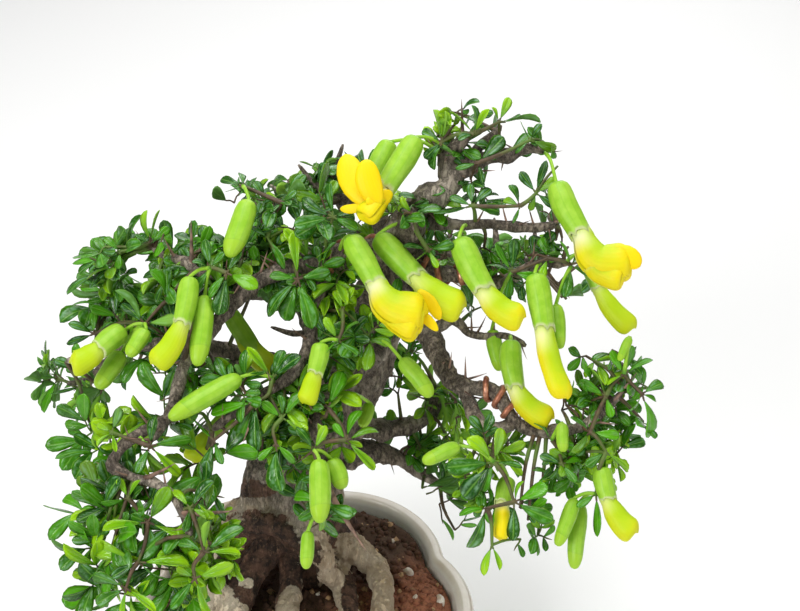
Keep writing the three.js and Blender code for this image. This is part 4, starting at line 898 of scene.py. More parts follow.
# Node trees
class Nodes:
    """Adds nodes to a tree and joins them by the names of their inputs."""

    def __init__(self, tree):
        self.tree = tree

    def add(self, kind, inputs=None, **settings):
        made = self.tree.nodes.new(kind)
        for key, value in settings.items():
            setattr(made, key, value)
        for key, value in (inputs or {}).items():
            socket = next(s for s in made.inputs if s.name == key and s.enabled)
            self.put(value, socket)
        return made

    def put(self, value, socket):
        if isinstance(value, bpy.types.NodeSocket):
            self.tree.links.new(value, socket)
        else:
            socket.default_value = value

    def out(self, kind, inputs=None, **settings):
        """The first output in use of a new node."""
        made = self.add(kind, inputs, **settings)
        return next(s for s in made.outputs if s.enabled)


def geometry_tree(name, inputs):
    """An empty Geometry Nodes tree with named inputs: {name: (socket type, default)}."""
    tree = bpy.data.node_groups.new(name, "GeometryNodeTree")
    tree.interface.new_socket("Geometry", in_out="OUTPUT", socket_type="NodeSocketGeometry")
    tree.interface.new_socket("Geometry", in_out="INPUT", socket_type="NodeSocketGeometry")
    for key, (kind, default) in inputs.items():
        socket = tree.interface.new_socket(key, in_out="INPUT", socket_type=kind)
        if default is not None:
            socket.default_value = default
    nodes = Nodes(tree)
    entry = nodes.add("NodeGroupInput")
    return nodes, {socket.name: socket for socket in entry.outputs if socket.name}


def tree_end(nodes, geometry, material):
    """Every tree ends in plain, smooth geometry with its material."""
    plain = nodes.out("GeometryNodeRealizeInstances", {"Geometry": geometry})
    shaded = nodes.out("GeometryNodeSetShadeSmooth", {"Geometry": plain, "Shade Smooth": True})
    dressed = nodes.out("GeometryNodeSetMaterial", {"Geometry": shaded, "Material": material})
    nodes.add("NodeGroupOutput", {"Geometry": dressed})


def named(nodes, name, kind="FLOAT"):
    return nodes.out("GeometryNodeInputNamedAttribute", {"Name": name}, data_type=kind)


def separate_forms(nodes, collection):
    values = {"Collection": collection, "Separate Children": True, "Reset Children": True}
    return nodes.out("GeometryNodeCollectionInfo", values)


def copies_tree():
    """Copies of a collection's forms on points, by their turn, size and form attributes."""
    nodes, given = geometry_tree(
        "Copies on Points",
        {"Forms": ("NodeSocketCollection", None), "Material": ("NodeSocketMaterial", None)},
    )
    forms = separate_forms(nodes, given["Forms"])
    turn = nodes.out("FunctionNodeEulerToRotation", {"Euler": named(nodes, "turn", "FLOAT_VECTOR")})
    copies = nodes.out(
        "GeometryNodeInstanceOnPoints",
        {
            "Points": given["Geometry"],
            "Instance": forms,
            "Pick Instance": True,
            "Instance Index": named(nodes, "form", "INT"),
            "Rotation": turn,
            "Scale": named(nodes, "size", "FLOAT_VECTOR"),
        },
    )
    tree_end(nodes, copies, given["Material"])
    return nodes.tree


def rods_tree():
    """Round rods along edges, by their radius attribute."""
    nodes, given = geometry_tree(
        "Rods on Paths", {"Sides": ("NodeSocketInt", 6), "Material": ("NodeSocketMaterial", None)}
    )
    paths = nodes.out("GeometryNodeMeshToCurve", {"Mesh": given["Geometry"]})
    ring = nodes.out("GeometryNodeCurvePrimitiveCircle", {"Resolution": given["Sides"], "Radius": 1.0})
    rods = nodes.out(
        "GeometryNodeCurveToMesh",
        {"Curve": paths, "Profile Curve": ring, "Scale": named(nodes, "radius"), "Fill Caps": True},
    )
    tree_end(nodes, rods, given["Material"])
    return nodes.tree


def crumbs_tree():
    """Crumbs of random size and turn, scattered over a surface."""
    nodes, given = geometry_tree(
        "Crumbs on Soil",
        {
            "Forms": ("NodeSocketCollection", None),
            "Per Square Metre": ("NodeSocketFloat", 400000.0),
            "Smallest": ("NodeSocketFloat", 0.0004),
            "Largest": ("NodeSocketFloat", 0.002),
            "Seed": ("NodeSocketInt", 5),
            "Material": ("NodeSocketMaterial", None),
        },
    )
    points = nodes.add(
        "GeometryNodeDistributePointsOnFaces",
        {"Mesh": given["Geometry"], "Density": given["Per Square Metre"], "Seed": given["Seed"]},
    )
    forms = separate_forms(nodes, given["Forms"])
    draw_size = nodes.out("FunctionNodeRandomValue", {"Seed": 11}, data_type="FLOAT")
    small_often = nodes.out("ShaderNodeMath", {"Value": draw_size}, operation="POWER")
    small_often.node.inputs[1].default_value = 2.2
    size = nodes.out(
        "ShaderNodeMapRange",
        {"Value": small_often, "To Min": given["Smallest"], "To Max": given["Largest"]},
    )
    turn = nodes.out(
        "FunctionNodeRandomValue",
        {"Max": (math.tau, math.tau, math.tau), "Seed": 12},
        data_type="FLOAT_VECTOR",
    )
    pick = nodes.out("FunctionNodeRandomValue", {"Max": 3, "Seed": 13}, data_type="INT")
    copies = nodes.out(
        "GeometryNodeInstanceOnPoints",
        {
            "Points": points.outputs["Points"],
            "Instance": forms,
            "Pick Instance": True,
            "Instance Index": pick,
            "Rotation": nodes.out("FunctionNodeEulerToRotation", {"Euler": turn}),
            "Scale": size,
        },
    )
    tint = nodes.out("FunctionNodeRandomValue", {"Seed": 14}, data_type="FLOAT")
    tinted = nodes.out(
        "GeometryNodeStoreNamedAttribute",
        {"Geometry": copies, "Name": "shade", "Value": tint},
        data_type="FLOAT",
        domain="INSTANCE",
    )
    tree_end(nodes, tinted, given["Material"])
    return nodes.tree


def grown(name, mesh, tree, values):
    """A plain piece that a tree makes from a mesh. Inputs are set before it is evaluated."""
    source = shown(name, mesh)
    modifier = source.modifiers.new("Grow", "NODES")
    modifier.node_group = tree
    for socket in tree.interface.items_tree:
        if socket.in_out == "INPUT" and socket.name in values:
            modifier[socket.identifier] = values[socket.name]
    source.update_tag()
    made = applied(source)
    bpy.data.meshes.remove(mesh)
    return made


def rods(name, paths, material, sides):
    """Rods along paths: each is an array of rows [x, y, z, radius] in millimetres."""
    mesh = bpy.data.meshes.new(name)
    places, edges, radii = [], [], []
    for path in paths:
        path = np.asarray(path, float)
        first = len(places)
        places.extend(path[:, :3] * MM)
        radii.extend(path[:, 3] * MM)
        edges.extend((first + k, first + k + 1) for k in range(len(path) - 1))
    mesh.from_pydata(places, edges, [])
    mark(mesh, "radius", radii)
    return grown(name, mesh, tree_named("Rods on Paths"), {"Sides": sides, "Material": material})


def tree_named(name):
    makers = {"Copies on Points": copies_tree, "Rods on Paths": rods_tree, "Crumbs on Soil": crumbs_tree}
    return bpy.data.node_groups.get(name) or makers[name]()


def forms_named(name, makers):
    """A collection, outside the scene, of the forms that copies are made of."""
    made = bpy.data.collections.get(name)
    if made:
        return made
    made = bpy.data.collections.new(name)
    for number, mesh in enumerate(makers()):
        made.objects.link(bpy.data.objects.new(f"{name}_{number}", mesh))
    return made


def copies(name, records, forms, material):
    """Copies of forms: each record is (place in mm, turn, size in mm, form, youth, shade)."""
    mesh = bpy.data.meshes.new(name)
    places, turns, lengths, picks, youths, shades = zip(*records)
    mesh.from_pydata([np.asarray(place) * MM for place in places], [], [])
    for key, kind, field, data in (
        ("turn", "FLOAT_VECTOR", "vector", turns),
        ("size", "FLOAT_VECTOR", "vector", np.asarray(lengths) * MM),
        ("form", "INT", "value", picks),
        ("youth", "FLOAT", "value", youths),
        ("shade", "FLOAT", "value", shades),
    ):
        flat = np.asarray(data).ravel()
        mesh.attributes.new(key, kind, "POINT").data.foreach_set(field, flat)
    return grown(name, mesh, tree_named("Copies on Points"), {"Forms": forms, "Material": material})


# Finishes
# How far light spreads in calyces and petals, in metres
LIGHT_SPREAD = 0.0015


def socket_name(key):
    return key.replace("_", " ").title().replace("Ior", "IOR")


class Finish(Nodes):
    """A material, its shader and short ways to the nodes that its colour and relief need."""

    def __init__(self, name, **values):
        self.material = bpy.data.materials.new(name)
        self.material.use_nodes = True
        self.material.node_tree.nodes.clear()
        super().__init__(self.material.node_tree)
        settings = {socket_name(key): value for key, value in values.items()}
        self.shader = self.add("ShaderNodeBsdfPrincipled", settings)
        self.add("ShaderNodeOutputMaterial", {"Surface": self.shader.outputs[0]})
        self.place = self.add("ShaderNodeTexCoord").outputs["Object"]

    def set(self, **sockets):
        for key, value in sockets.items():
            self.put(value, self.shader.inputs[socket_name(key)])

    def math(self, operation, *values):
        made = self.add("ShaderNodeMath", operation=operation)
        for socket, value in zip(made.inputs, values):
            self.put(value, socket)
        return made.outputs[0]

    def mix(self, factor, first, second):
        values = {"Factor": factor, "A": first, "B": second}
        return self.out("ShaderNodeMix", values, data_type="RGBA", clamp_factor=True)

    def range(self, value, low, high, to_low=0.0, to_high=1.0):
        values = {"Value": value, "From Min": low, "From Max": high, "To Min": to_low, "To Max": to_high}
        return self.out("ShaderNodeMapRange", values)

    def smooth(self, value, low, high):
        values = {"Value": value, "From Min": low, "From Max": high}
        return self.out("ShaderNodeMapRange", values, interpolation_type="SMOOTHSTEP")

    def noise(self, scale, detail=3.0, stretch=None, rough=0.55):
        place = self.place
        if stretch is not None:
            place = self.out("ShaderNodeMapping", {"Vector": place, "Scale": stretch})
        values = {"Vector": place, "Scale": scale, "Detail": detail, "Roughness": rough}
        return self.out("ShaderNodeTexNoise", values)

    def cells(self, scale):
        return self.out("ShaderNodeTexVoronoi", {"Vector": self.place, "Scale": scale})

    def attribute(self, name):
        made = self.add("ShaderNodeAttribute", attribute_name=name)
        return made.outputs["Fac"]

    def uv(self):
        """Across and along the piece, from its UV map."""
        made = self.add("ShaderNodeSeparateXYZ", {"Vector": self.out("ShaderNodeUVMap", uv_map="UVMap")})
        return made.outputs["X"], made.outputs["Y"]

    def axis(self, name):
        return self.add("ShaderNodeSeparateXYZ", {"Vector": self.place}).outputs[name]

    def relief(self, height, depth, strength=1.0):
        values = {"Height": height, "Distance": depth * MM, "Strength": strength}
        self.set(normal=self.out("ShaderNodeBump", values))


def glaze_finish():
    finish = Finish("Pale Glaze", roughness=0.22, coat_weight=0.5, coat_roughness=0.08)
    height = finish.axis("Z")
    cloud = finish.noise(60.0, 4.0)
    speck = finish.cells(900.0)
    base = finish.mix(finish.range(cloud, 0.35, 0.7), colours().glaze, linear("D6D6CC"))
    speckled = finish.mix(finish.range(speck, 0.16, 0.05, 0.0, 0.35), base, linear("8C7A62"))
    near_rim = finish.smooth(height, 0.0334, 0.0349)
    ragged = finish.math("MULTIPLY", near_rim, finish.range(cloud, 0.3, 0.75, 0.25, 0.9))
    rim = finish.mix(ragged, speckled, colours().glaze_thin)
    foot = finish.math("SUBTRACT", 1.0, finish.smooth(height, 0.0006, 0.0016))
    finish.set(base_color=finish.mix(foot, rim, linear("A88563")))
    finish.set(roughness=finish.range(foot, 0.0, 1.0, 0.2, 0.8))
    finish.relief(finish.noise(180.0, 2.0), 0.12, 0.35)
    return finish.material


def bark_finish():
    finish = Finish("Old Bark", roughness=0.84)
    height = finish.axis("Z")
    broad = finish.noise(75.0, 5.0)
    streak = finish.noise(420.0, 6.0, stretch=(1.0, 1.0, 0.3), rough=0.72)
    fine = finish.noise(1500.0, 4.0, stretch=(1.0, 1.0, 0.5), rough=0.7)
    cracks = finish.math("ABSOLUTE", finish.math("SUBTRACT", streak, 0.5))
    dark = finish.mix(finish.range(fine, 0.36, 0.6), linear("574B40"), colours().bark)
    flaked = finish.mix(finish.range(broad, 0.5, 0.66, 0.0, 0.75), dark, colours().bark_light)
    flaked = finish.mix(finish.range(fine, 0.62, 0.74, 0.0, 0.7), flaked, linear("B3A492"))
    cracked = finish.mix(finish.range(cracks, 0.0, 0.03, 0.7, 0.0), flaked, linear("1E1713"))
    tan = finish.mix(finish.range(broad, 0.38, 0.62), linear("C2A988"), colours().root)
    tan = finish.mix(finish.range(fine, 0.55, 0.75, 0.0, 0.8), tan, linear("FAF0DC"))
    tan = finish.mix(finish.range(streak, 0.44, 0.32, 0.0, 0.8), tan, linear("705741"))
    ragged = finish.math("MULTIPLY_ADD", broad, 0.03, height)
    rooty = finish.smooth(ragged, 0.09, 0.074)
    clods = finish.noise(260.0, 5.0, rough=0.65)
    # Painted shade between the roots, and soil on them: the attribute marked on the trunk and soil-like clods
    # mix the wood towards a dark earth colour.
    hollow = finish.math("ADD", finish.attribute("hollow"), finish.range(clods, 0.3, 0.7, -0.42, 0.42))
    hollow = finish.smooth(hollow, 0.32, 0.52)
    rooted = finish.mix(rooty, cracked, tan)
    shade_and_soil_colour = finish.mix(finish.range(clods, 0.42, 0.6), linear("33241A"), linear("705240"))
    shade_and_soil_colour = finish.mix(finish.range(fine, 0.56, 0.7, 0.0, 0.6), shade_and_soil_colour, linear("A88768"))
    finish.set(base_color=finish.mix(hollow, rooted, shade_and_soil_colour))
    rise = finish.math("ADD", finish.range(cracks, 0.0, 0.07), finish.math("MULTIPLY", fine, 0.7))
    finish.relief(rise, 0.5, 0.85)
    return finish.material


def twig_finish():
    finish = Finish("Green Twigs", roughness=0.6)
    streak = finish.noise(700.0, 3.0)
    patch = finish.noise(120.0, 2.0)
    brown = finish.mix(finish.range(streak, 0.4, 0.65), linear("4B3D28"), colours().twig)
    green = finish.mix(finish.range(patch, 0.48, 0.62), brown, linear("5E7A2C"))
    finish.set(base_color=green)
    finish.relief(streak, 0.1, 0.5)
    return finish.material


def thorn_finish():
    finish = Finish("Thorns", roughness=0.5)
    tint = finish.noise(400.0, 2.0)
    finish.set(base_color=finish.mix(finish.range(tint, 0.4, 0.6), linear("5C463A"), linear("9B7A6A")))
    finish.relief(tint, 0.05, 0.4)
    return finish.material


def wire_finish():
    finish = Finish("Copper Wire", roughness=0.42, metallic=0.55)
    wear = finish.noise(500.0, 4.0)
    dull = finish.mix(finish.range(wear, 0.38, 0.66), linear("8A5140"), colours().copper)
    bright = finish.mix(finish.range(wear, 0.62, 0.75), dull, linear("E3B096"))
    finish.set(base_color=bright, roughness=finish.range(wear, 0.35, 0.7, 0.55, 0.34))
    finish.relief(wear, 0.04, 0.4)
    return finish.material


def leaf_finish():
    finish = Finish("Leaflets", specular_ior_level=0.4)
    u, v = finish.uv()
    under = finish.math("GREATER_THAN", u, 1.5)
    across = finish.math("SUBTRACT", u, finish.math("MULTIPLY", under, 2.0))
    off_rib = finish.math("MULTIPLY", finish.math("ABSOLUTE", finish.math("SUBTRACT", across, 0.5)), 2.0)
    rib = finish.math("MULTIPLY", finish.smooth(off_rib, 0.15, 0.03), finish.smooth(v, 1.0, 0.8))
    edge = finish.smooth(off_rib, 0.86, 1.0)
    waves = finish.math("SUBTRACT", finish.math("MULTIPLY", v, 9.0), finish.math("MULTIPLY", off_rib, 2.2))
    veins = finish.math("SINE", finish.math("MULTIPLY", waves, math.tau))
    youth = finish.attribute("youth")
    shade = finish.attribute("shade")
    grown = finish.math("SUBTRACT", 1.0, youth)
    mottle = finish.noise(420.0, 3.0)
    # The shade attribute holds each leaflet's random tone and the painted light of its region, and mixes the
    # deep and light leaf greens.
    depth = finish.math("ADD", shade, finish.range(mottle, 0.3, 0.7, -0.25, 0.25))
    grown_green = finish.mix(depth, colours().leaf_deep, colours().leaf)
    fresh = finish.mix(finish.smooth(v, 0.9, 0.1), colours().leaf_young, linear("7DB81E"))
    green = finish.mix(youth, grown_green, fresh)
    veined = finish.mix(finish.range(veins, 0.5, 1.0, 0.0, 0.12), green, linear("74B43C"))
    ribbed = finish.mix(finish.math("MULTIPLY", rib, 0.5), veined, linear("7CB444"))
    # Painted sheen: a pale blue-green band along each half of the grown, darker leaflets stands in for the
    # glossy highlights of their wax.
    painted_sheen = finish.smooth(finish.math("ABSOLUTE", finish.math("SUBTRACT", off_rib, 0.48)), 0.3, 0.04)
    painted_sheen = finish.math("MULTIPLY", painted_sheen, finish.range(mottle, 0.45, 0.63, 0.0, 0.44))
    painted_sheen = finish.math("MULTIPLY", painted_sheen, finish.math("MULTIPLY", grown, finish.smooth(shade, 0.75, 0.3)))
    with_painted_sheen = finish.mix(painted_sheen, ribbed, linear("9CC8A8"))
    edged = finish.mix(finish.math("MULTIPLY", edge, 0.4), with_painted_sheen, linear("9CBE50"))
    pale = finish.mix(0.4, edged, linear("76A84A"))
    finish.set(base_color=finish.mix(under, edged, pale))
    finish.set(roughness=finish.range(under, 0.0, 1.0, 0.22, 0.6))
    rise = finish.math("SUBTRACT", finish.math("MULTIPLY", veins, 0.14), rib)
    finish.relief(rise, 0.12, 0.5)
    return finish.material


def calyx_finish():
    finish = Finish("Calyces", roughness=0.4, specular_ior_level=0.3, subsurface_weight=0.1)
    finish.set(subsurface_radius=(0.6, 1.0, 0.1), subsurface_scale=LIGHT_SPREAD)
    u, v = finish.uv()
    mottle = finish.noise(420.0, 3.0)
    ribs = finish.math("SINE", finish.math("MULTIPLY", u, math.tau * 10))
    petals = finish.smooth(finish.math("MULTIPLY_ADD", mottle, 0.02, v), 2.636, 2.653)
    # Painted shade: a darker line just below where the petals show, in the crease at the lip of a closed
    # bud's calyx.
    mouth = finish.math("SUBTRACT", finish.smooth(v, 2.591, 2.618), petals)
    body = finish.mix(finish.range(mottle, 0.35, 0.65), colours().calyx, linear("A4D040"))
    based = finish.mix(finish.smooth(v, 0.14, 0.0), body, linear("5E9A2E"))
    veined = finish.mix(finish.range(ribs, 0.72, 1.0, 0.0, 0.22), based, linear("6FA82E"))
    rim = finish.math("MULTIPLY", finish.smooth(v, 0.83, 0.87), finish.math("LESS_THAN", v, 1.5))
    rimmed = finish.mix(rim, veined, linear("CFDC9A"))
    budded = finish.mix(petals, rimmed, linear("A2CC34"))
    finish.set(base_color=finish.mix(finish.math("MULTIPLY", mouth, 0.25), budded, linear("83AC2C")))
    finish.relief(finish.math("ADD", finish.math("MULTIPLY", ribs, 0.3), mottle), 0.1, 0.5)
    return finish.material


def petal_finish():
    finish = Finish("Petals", roughness=0.5, specular_ior_level=0.25, subsurface_weight=0.18)
    finish.set(subsurface_radius=(1.0, 0.9, 0.2), subsurface_scale=LIGHT_SPREAD)
    u, v = finish.uv()
    turn = finish.math("SUBTRACT", u, finish.math("FLOOR", u))
    off_back = finish.math("MULTIPLY", finish.math("ABSOLUTE", finish.math("SUBTRACT", turn, 0.5)), 2.0)
    mottle = finish.noise(300.0, 2.0)
    streaks = finish.math("SINE", finish.math("MULTIPLY", turn, math.tau * 22))
    yellow = finish.mix(finish.range(mottle, 0.4, 0.8, 0.0, 0.6), colours().petal, linear("FFD000"))
    lit = finish.mix(finish.range(streaks, 0.5, 1.0, 0.0, 0.06), yellow, linear("E8B800"))
    flush = finish.math(
        "MULTIPLY",
        finish.smooth(off_back, 1.05, 0.35),
        finish.smooth(finish.math("MULTIPLY_ADD", mottle, 0.3, v), 1.15, 0.55),
    )
    greener = finish.mix(finish.attribute("greenness"), lit, linear("BFD620"))
    flushed = finish.mix(flush, greener, colours().petal_green)
    pale = finish.math("MULTIPLY", finish.smooth(v, 0.36, 0.06), finish.smooth(off_back, 0.2, 0.7))
    pale = finish.math("MULTIPLY", pale, finish.math("SUBTRACT", 1.0, finish.attribute("greenness")))
    based = finish.mix(pale, flushed, colours().petal_pale)
    vivid = finish.mix(finish.smooth(v, 1.02, 1.5), based, linear("FFDA00"))
    finish.set(base_color=finish.mix(finish.smooth(v, 0.14, 0.02), vivid, linear("CFE07A")))
    finish.relief(finish.math("MULTIPLY_ADD", streaks, 0.15, mottle), 0.12, 0.4)
    return finish.material


def soil_finish():
    finish = Finish("Soil Crumbs", roughness=0.95)
    across = finish.axis("X")
    back = finish.axis("Y")
    shade = finish.attribute("shade")
    broad = finish.noise(70.0, 3.0)
    grain = finish.noise(1400.0, 2.0)
    # Darker soil behind the trunk and redder soil towards the right front, by place.
    right_front = finish.math("SUBTRACT", across, finish.math("MULTIPLY", back, 0.8))
    ragged = finish.math("MULTIPLY_ADD", broad, 0.03, right_front)
    red = finish.smooth(ragged, 0.022, 0.052)
    base = finish.mix(red, colours().soil_dark, colours().soil_red)
    tinted = finish.mix(finish.range(shade, 0.1, 0.75, 0.0, 0.55), base, linear("573423"))
    pale = finish.mix(finish.range(shade, 0.9, 0.95), tinted, linear("B08D66"))
    finish.set(base_color=finish.mix(finish.range(grain, 0.5, 0.7, 0.0, 0.5), pale, linear("1C120D")))
    finish.relief(grain, 0.2, 0.8)
    return finish.material


def stone_finish():
    finish = Finish("Pebbles", roughness=0.7)
    mottle = finish.noise(500.0, 4.0)
    finish.set(base_color=finish.mix(finish.range(mottle, 0.35, 0.65), linear("B9A58C"), linear("EDE6DA")))
    finish.relief(mottle, 0.15, 0.6)
    return finish.material


def mesh_finish():
    finish = Finish("Drain Mesh Plastic", roughness=0.55)
    scuff = finish.noise(900.0, 3.0)
    finish.set(base_color=finish.mix(finish.range(scuff, 0.4, 0.7), linear("16181A"), linear("2C3033")))
    finish.relief(scuff, 0.05, 0.5)
    return finish.material


def floor_finish():
    finish = Finish("Studio Floor", roughness=0.9)
    finish.set(base_color=linear("F7F7F6"))
    return finish.material


FINISHES = {
    "glaze": glaze_finish,
    "bark": bark_finish,
    "twig": twig_finish,
    "thorn": thorn_finish,
    "wire": wire_finish,
    "leaf": leaf_finish,
    "calyx": calyx_finish,
    "petal": petal_finish,
    "soil": soil_finish,
    "stone": stone_finish,
    "mesh": mesh_finish,
    "floor": floor_finish,
}
made_finishes = {}


def finish(name):
    if name not in made_finishes:
        made_finishes[name] = FINISHES[name]()
    return made_finishes[name]


# Pot and soil
def lobe_reach(angle, height):
    """How far the lobed wall reaches at an angle, as a share of its profile's radius."""
    pitch = math.tau / POT_LOBES
    off = (angle - FIRST_LOBE) - pitch * np.round((angle - FIRST_LOBE) / pitch)
    reach = LOBE_OFFSET * np.cos(off) + np.sqrt(LOBE_RADIUS**2 - (LOBE_OFFSET * np.sin(off)) ** 2)
    roundness = BASE_ROUNDNESS * (1 - height / POT_HEIGHT)
    return reach / RIM_REACH * (1 - roundness) + FOOT_REACH * roundness


def lobed(profile, steps, around=180):
    """A closed form turned from a smooth profile [radius, height] and pushed out into lobes."""
    rows = smooth_rows(profile, steps)
    rows[:, 0] = np.maximum(rows[:, 0], 0)
    angles = round_angles(around)
    radius = rows[:, :1] * lobe_reach(angles[None, :], rows[:, 1:2])
    height = np.broadcast_to(rows[:, 1:2], radius.shape)
    return np.stack([radius * np.cos(angles), radius * np.sin(angles), height], axis=2)


def soil_relief(places):
    """How far low waves and fine clods lift the soil's surface at each place."""
    radius = np.hypot(places[..., 0], places[..., 1])
    angle = np.arctan2(places[..., 1], places[..., 0])
    waves = 0.7 * np.sin(5 * angle + 0.4 * radius) + 0.5 * np.sin(0.9 * radius + 3 * angle)
    clods = np.array([noise.noise(Vector(p) * 0.35) for p in places.reshape(-1, 3)])
    return waves * 0.8 + 0.7 * clods.reshape(radius.shape)


def soil_height(x, y):
    radius = math.hypot(x, y)
    heap = np.interp(radius, [0, 20, 34, SOIL_EDGE], [SOIL_HEAP, 34.8, 33.4, 31.8])
    return heap + float(soil_relief(np.array([[x, y, heap]]))[0])


# The profiles that are turned round, [radius, height]: the wall of the pot, the soil's top and its side
POT_WALL = [
    [0, 0.3], [24, 0.3], [28.4, 0.2], [29.4, 0], [31.4, 0], [32.6, 0.7], [34.6, 3.4], [37.4, 7.6],
    [40, 12.2], [42.6, 18], [44.5, 24], [45.4, 28.6], [45.9, 30.6], [47.2, 31.6], [48, 32.6],
    [48, 33.8], [47.2, 34.8], [45.8, 35], [44.4, 34.8], [43.4, 33.9], [43, 32.4], [42.2, 28.6],
    [41.2, 24], [39.2, 17.4], [36.4, 11], [33.4, 6.9], [30, 5.2], [26, 5], [0, 5],
]
SOIL_BED = [[42, 31.8], [38, 32.7], [34, 33.4], [27, 34.2], [20, 34.8], [10, 35.5], [0, 36]]
SOIL_SIDE = [[0, 6.5], [29, 6.5], [36, 14], [40.6, 25.4], [42, 31.8]]
# The crumbs stop a little short of the wall, at this share of the soil's reach
CRUMB_REACH = 0.985


def make_pot():
    form = Form()
    form.tube(lobed(POT_WALL, 3)[::-1])
    pot = shown("glazed_pot", form.mesh("glazed_pot"))
    pot.data.flip_normals()
    for number in range(DRAIN_HOLES):
        angle = (number + 0.5) / DRAIN_HOLES * math.tau
        middle = np.array([DRAIN_CIRCLE * math.cos(angle), DRAIN_CIRCLE * math.sin(angle), 0])
        path = np.array([middle + UP * z for z in DRILL_ENDS])
        drill = Form()
        drill.tube(tube_rows(path, DRAIN_RADIUS, round_angles(32)))
        cutter = shown(f"drill_{number}", drill.mesh("drill"))
        cut = pot.modifiers.new("Drain hole", "BOOLEAN")
        cut.operation = "DIFFERENCE"
        cut.object = cutter
    pot = applied(pot)
    for cutter in [piece for piece in bpy.data.objects if piece.name.startswith("drill_")]:
        bpy.data.objects.remove(cutter)
    pot.data.materials.clear()
    pot.data.materials.append(finish("glaze"))
    finished(pot, "glaze", "pot")
    # The drain mesh stays the solid that the frame brings, in its own finish
    net = bpy.data.objects["drain_mesh"].data
    net.materials.clear()
    net.materials.append(finish("mesh"))


def mesh_of(work, name):
    """A mesh of a finished bmesh."""
    mesh = bpy.data.meshes.new(name)
    work.to_mesh(mesh)
    work.free()
    return mesh


def crumb_forms():
    """Three blocky crumbs, about a unit across."""
    for number in range(3):
        work = bmesh.new()
        bmesh.ops.create_cube(work, size=1.0)
        bmesh.ops.subdivide_edges(work, edges=work.edges, cuts=1, use_grid_fill=True)
        for corner in work.verts:
            lump = noise.noise(corner.co * 2.3 + Vector((7.0 * number, 3.1, 1.7)))
            corner.co = corner.co.lerp(corner.co.normalized() * 0.55, 0.75) * (1 + 0.55 * lump)
        yield mesh_of(work, f"crumb_{number}")


def make_soil():
    top = lobed(SOIL_BED, 5, 150)
    top[..., 2] += soil_relief(top)
    bed = Form()
    bed.tube(np.concatenate([lobed(SOIL_SIDE, 3, 150)[:-1], top]))
    bed = shown("soil_bed", bed.mesh("soil_bed"), finish("soil"))
    surface = Form()
    surface.grid(top * np.array([CRUMB_REACH, CRUMB_REACH, 1]), wrap=True)
    values = {
        "Forms": forms_named("Crumbs", crumb_forms),
        "Per Square Metre": sizes().crumb_count * 10000.0,
        "Largest": sizes().crumb_size,
        "Material": finish("soil"),
    }
    crumbs = grown("soil_crumbs", surface.mesh("soil_surface"), tree_named("Crumbs on Soil"), values)
    for piece in (bed, crumbs):
        finished(piece, "soil", "soil")
    make_pebbles()


# Pebbles and pale bits on the soil: [across, down, size in mm]
PEBBLES = [
    [408, 573, 3.6], [440, 600, 4.0], [392, 540, 1.8], [242, 587, 3.4], [300, 548, 2.2],
    [318, 600, 2.2], [415, 598, 1.8], [268, 560, 2.4],
]


def on_soil(across, down):
    """Where the line of sight meets the soil."""
    near, far = seen([across, down, 0]), seen([across, down, 120])
    share = (near[2] - SOIL_LEVEL) / (near[2] - far[2])
    place = near + (far - near) * share
    place[2] = soil_height(place[0], place[1])
    return place


def make_pebbles():
    records = []
    for number, (across, down, size) in enumerate(PEBBLES):
        turn = [draw(3, number) * 3, draw(4, number) * 3, draw(5, number) * 6]
        scale = [size, size * (0.7 + 0.3 * draw(6, number)), size * 0.6]
        records.append((on_soil(across, down), turn, scale, number % 3, 0.0, draw(8, number)))
    pebbles = copies("pebbles", records, forms_named("Pebble Forms", pebble_forms), finish("stone"))
    finished(pebbles, "soil", "soil")


def pebble_forms():
    """Three lumpy stones, about a unit across."""
    for number in range(3):
        work = bmesh.new()
        bmesh.ops.create_icosphere(work, subdivisions=3, radius=0.5)
        for corner in work.verts:
            lump = noise.noise(corner.co * 2.2 + Vector((4.0 * number, 1.1, 2.3)))
            fine = noise.noise(corner.co * 7.0 + Vector((4.0 * number, 1.1, 2.3)))
            corner.co *= 1 + 0.3 * lump + 0.06 * fine
        yield mesh_of(work, f"pebble_{number}")


# Wood
def limb_rows(name):
    """A limb's smooth centre line: rows of [x, y, z, radius]."""
    if name in LIMBS:
        rows = [[*seen(row), row[3]] for row in LIMBS[name]]
    elif name in BACK_LIMBS:
        rows = BACK_LIMBS[name]
    elif name == "trunk":
        rows = TRUNK
    else:
        rows = ROOTS[name.removeprefix("root_")]
    return np.array(smooth_rows(rows, 8))


# Limbs that share the trunk's skin, and how deep the flakes and furrows of each kind of wood are
THICK_LIMBS = ["dead_stub"]
FLAKES = 0.32
BRANCH_FURROWS = 0.34
TWIG_FURROWS = 0.18
# Filled by trace_limbs: the centre line of each limb, and all of their places with a tree to search them
limb_lines = {}
wood_lines = None


def trace_limbs():
    """The centre lines of all limbs, and a tree of their places to find the nearest wood."""
    global wood_lines
    names = ["trunk", *(f"root_{name}" for name in ROOTS), *BACK_LIMBS, *LIMBS]
    limb_lines.update({name: limb_rows(name) for name in names})
    rows = np.concatenate([limb_lines[name] for name in names if not name.startswith("root_")])
    tree = kdtree.KDTree(len(rows))
    for number, row in enumerate(rows):
        tree.insert(row[:3], number)
    tree.balance()
    wood_lines = (tree, rows)


def nearest_wood(place):
    tree, rows = wood_lines
    return rows[tree.find(Vector(place))[1]]


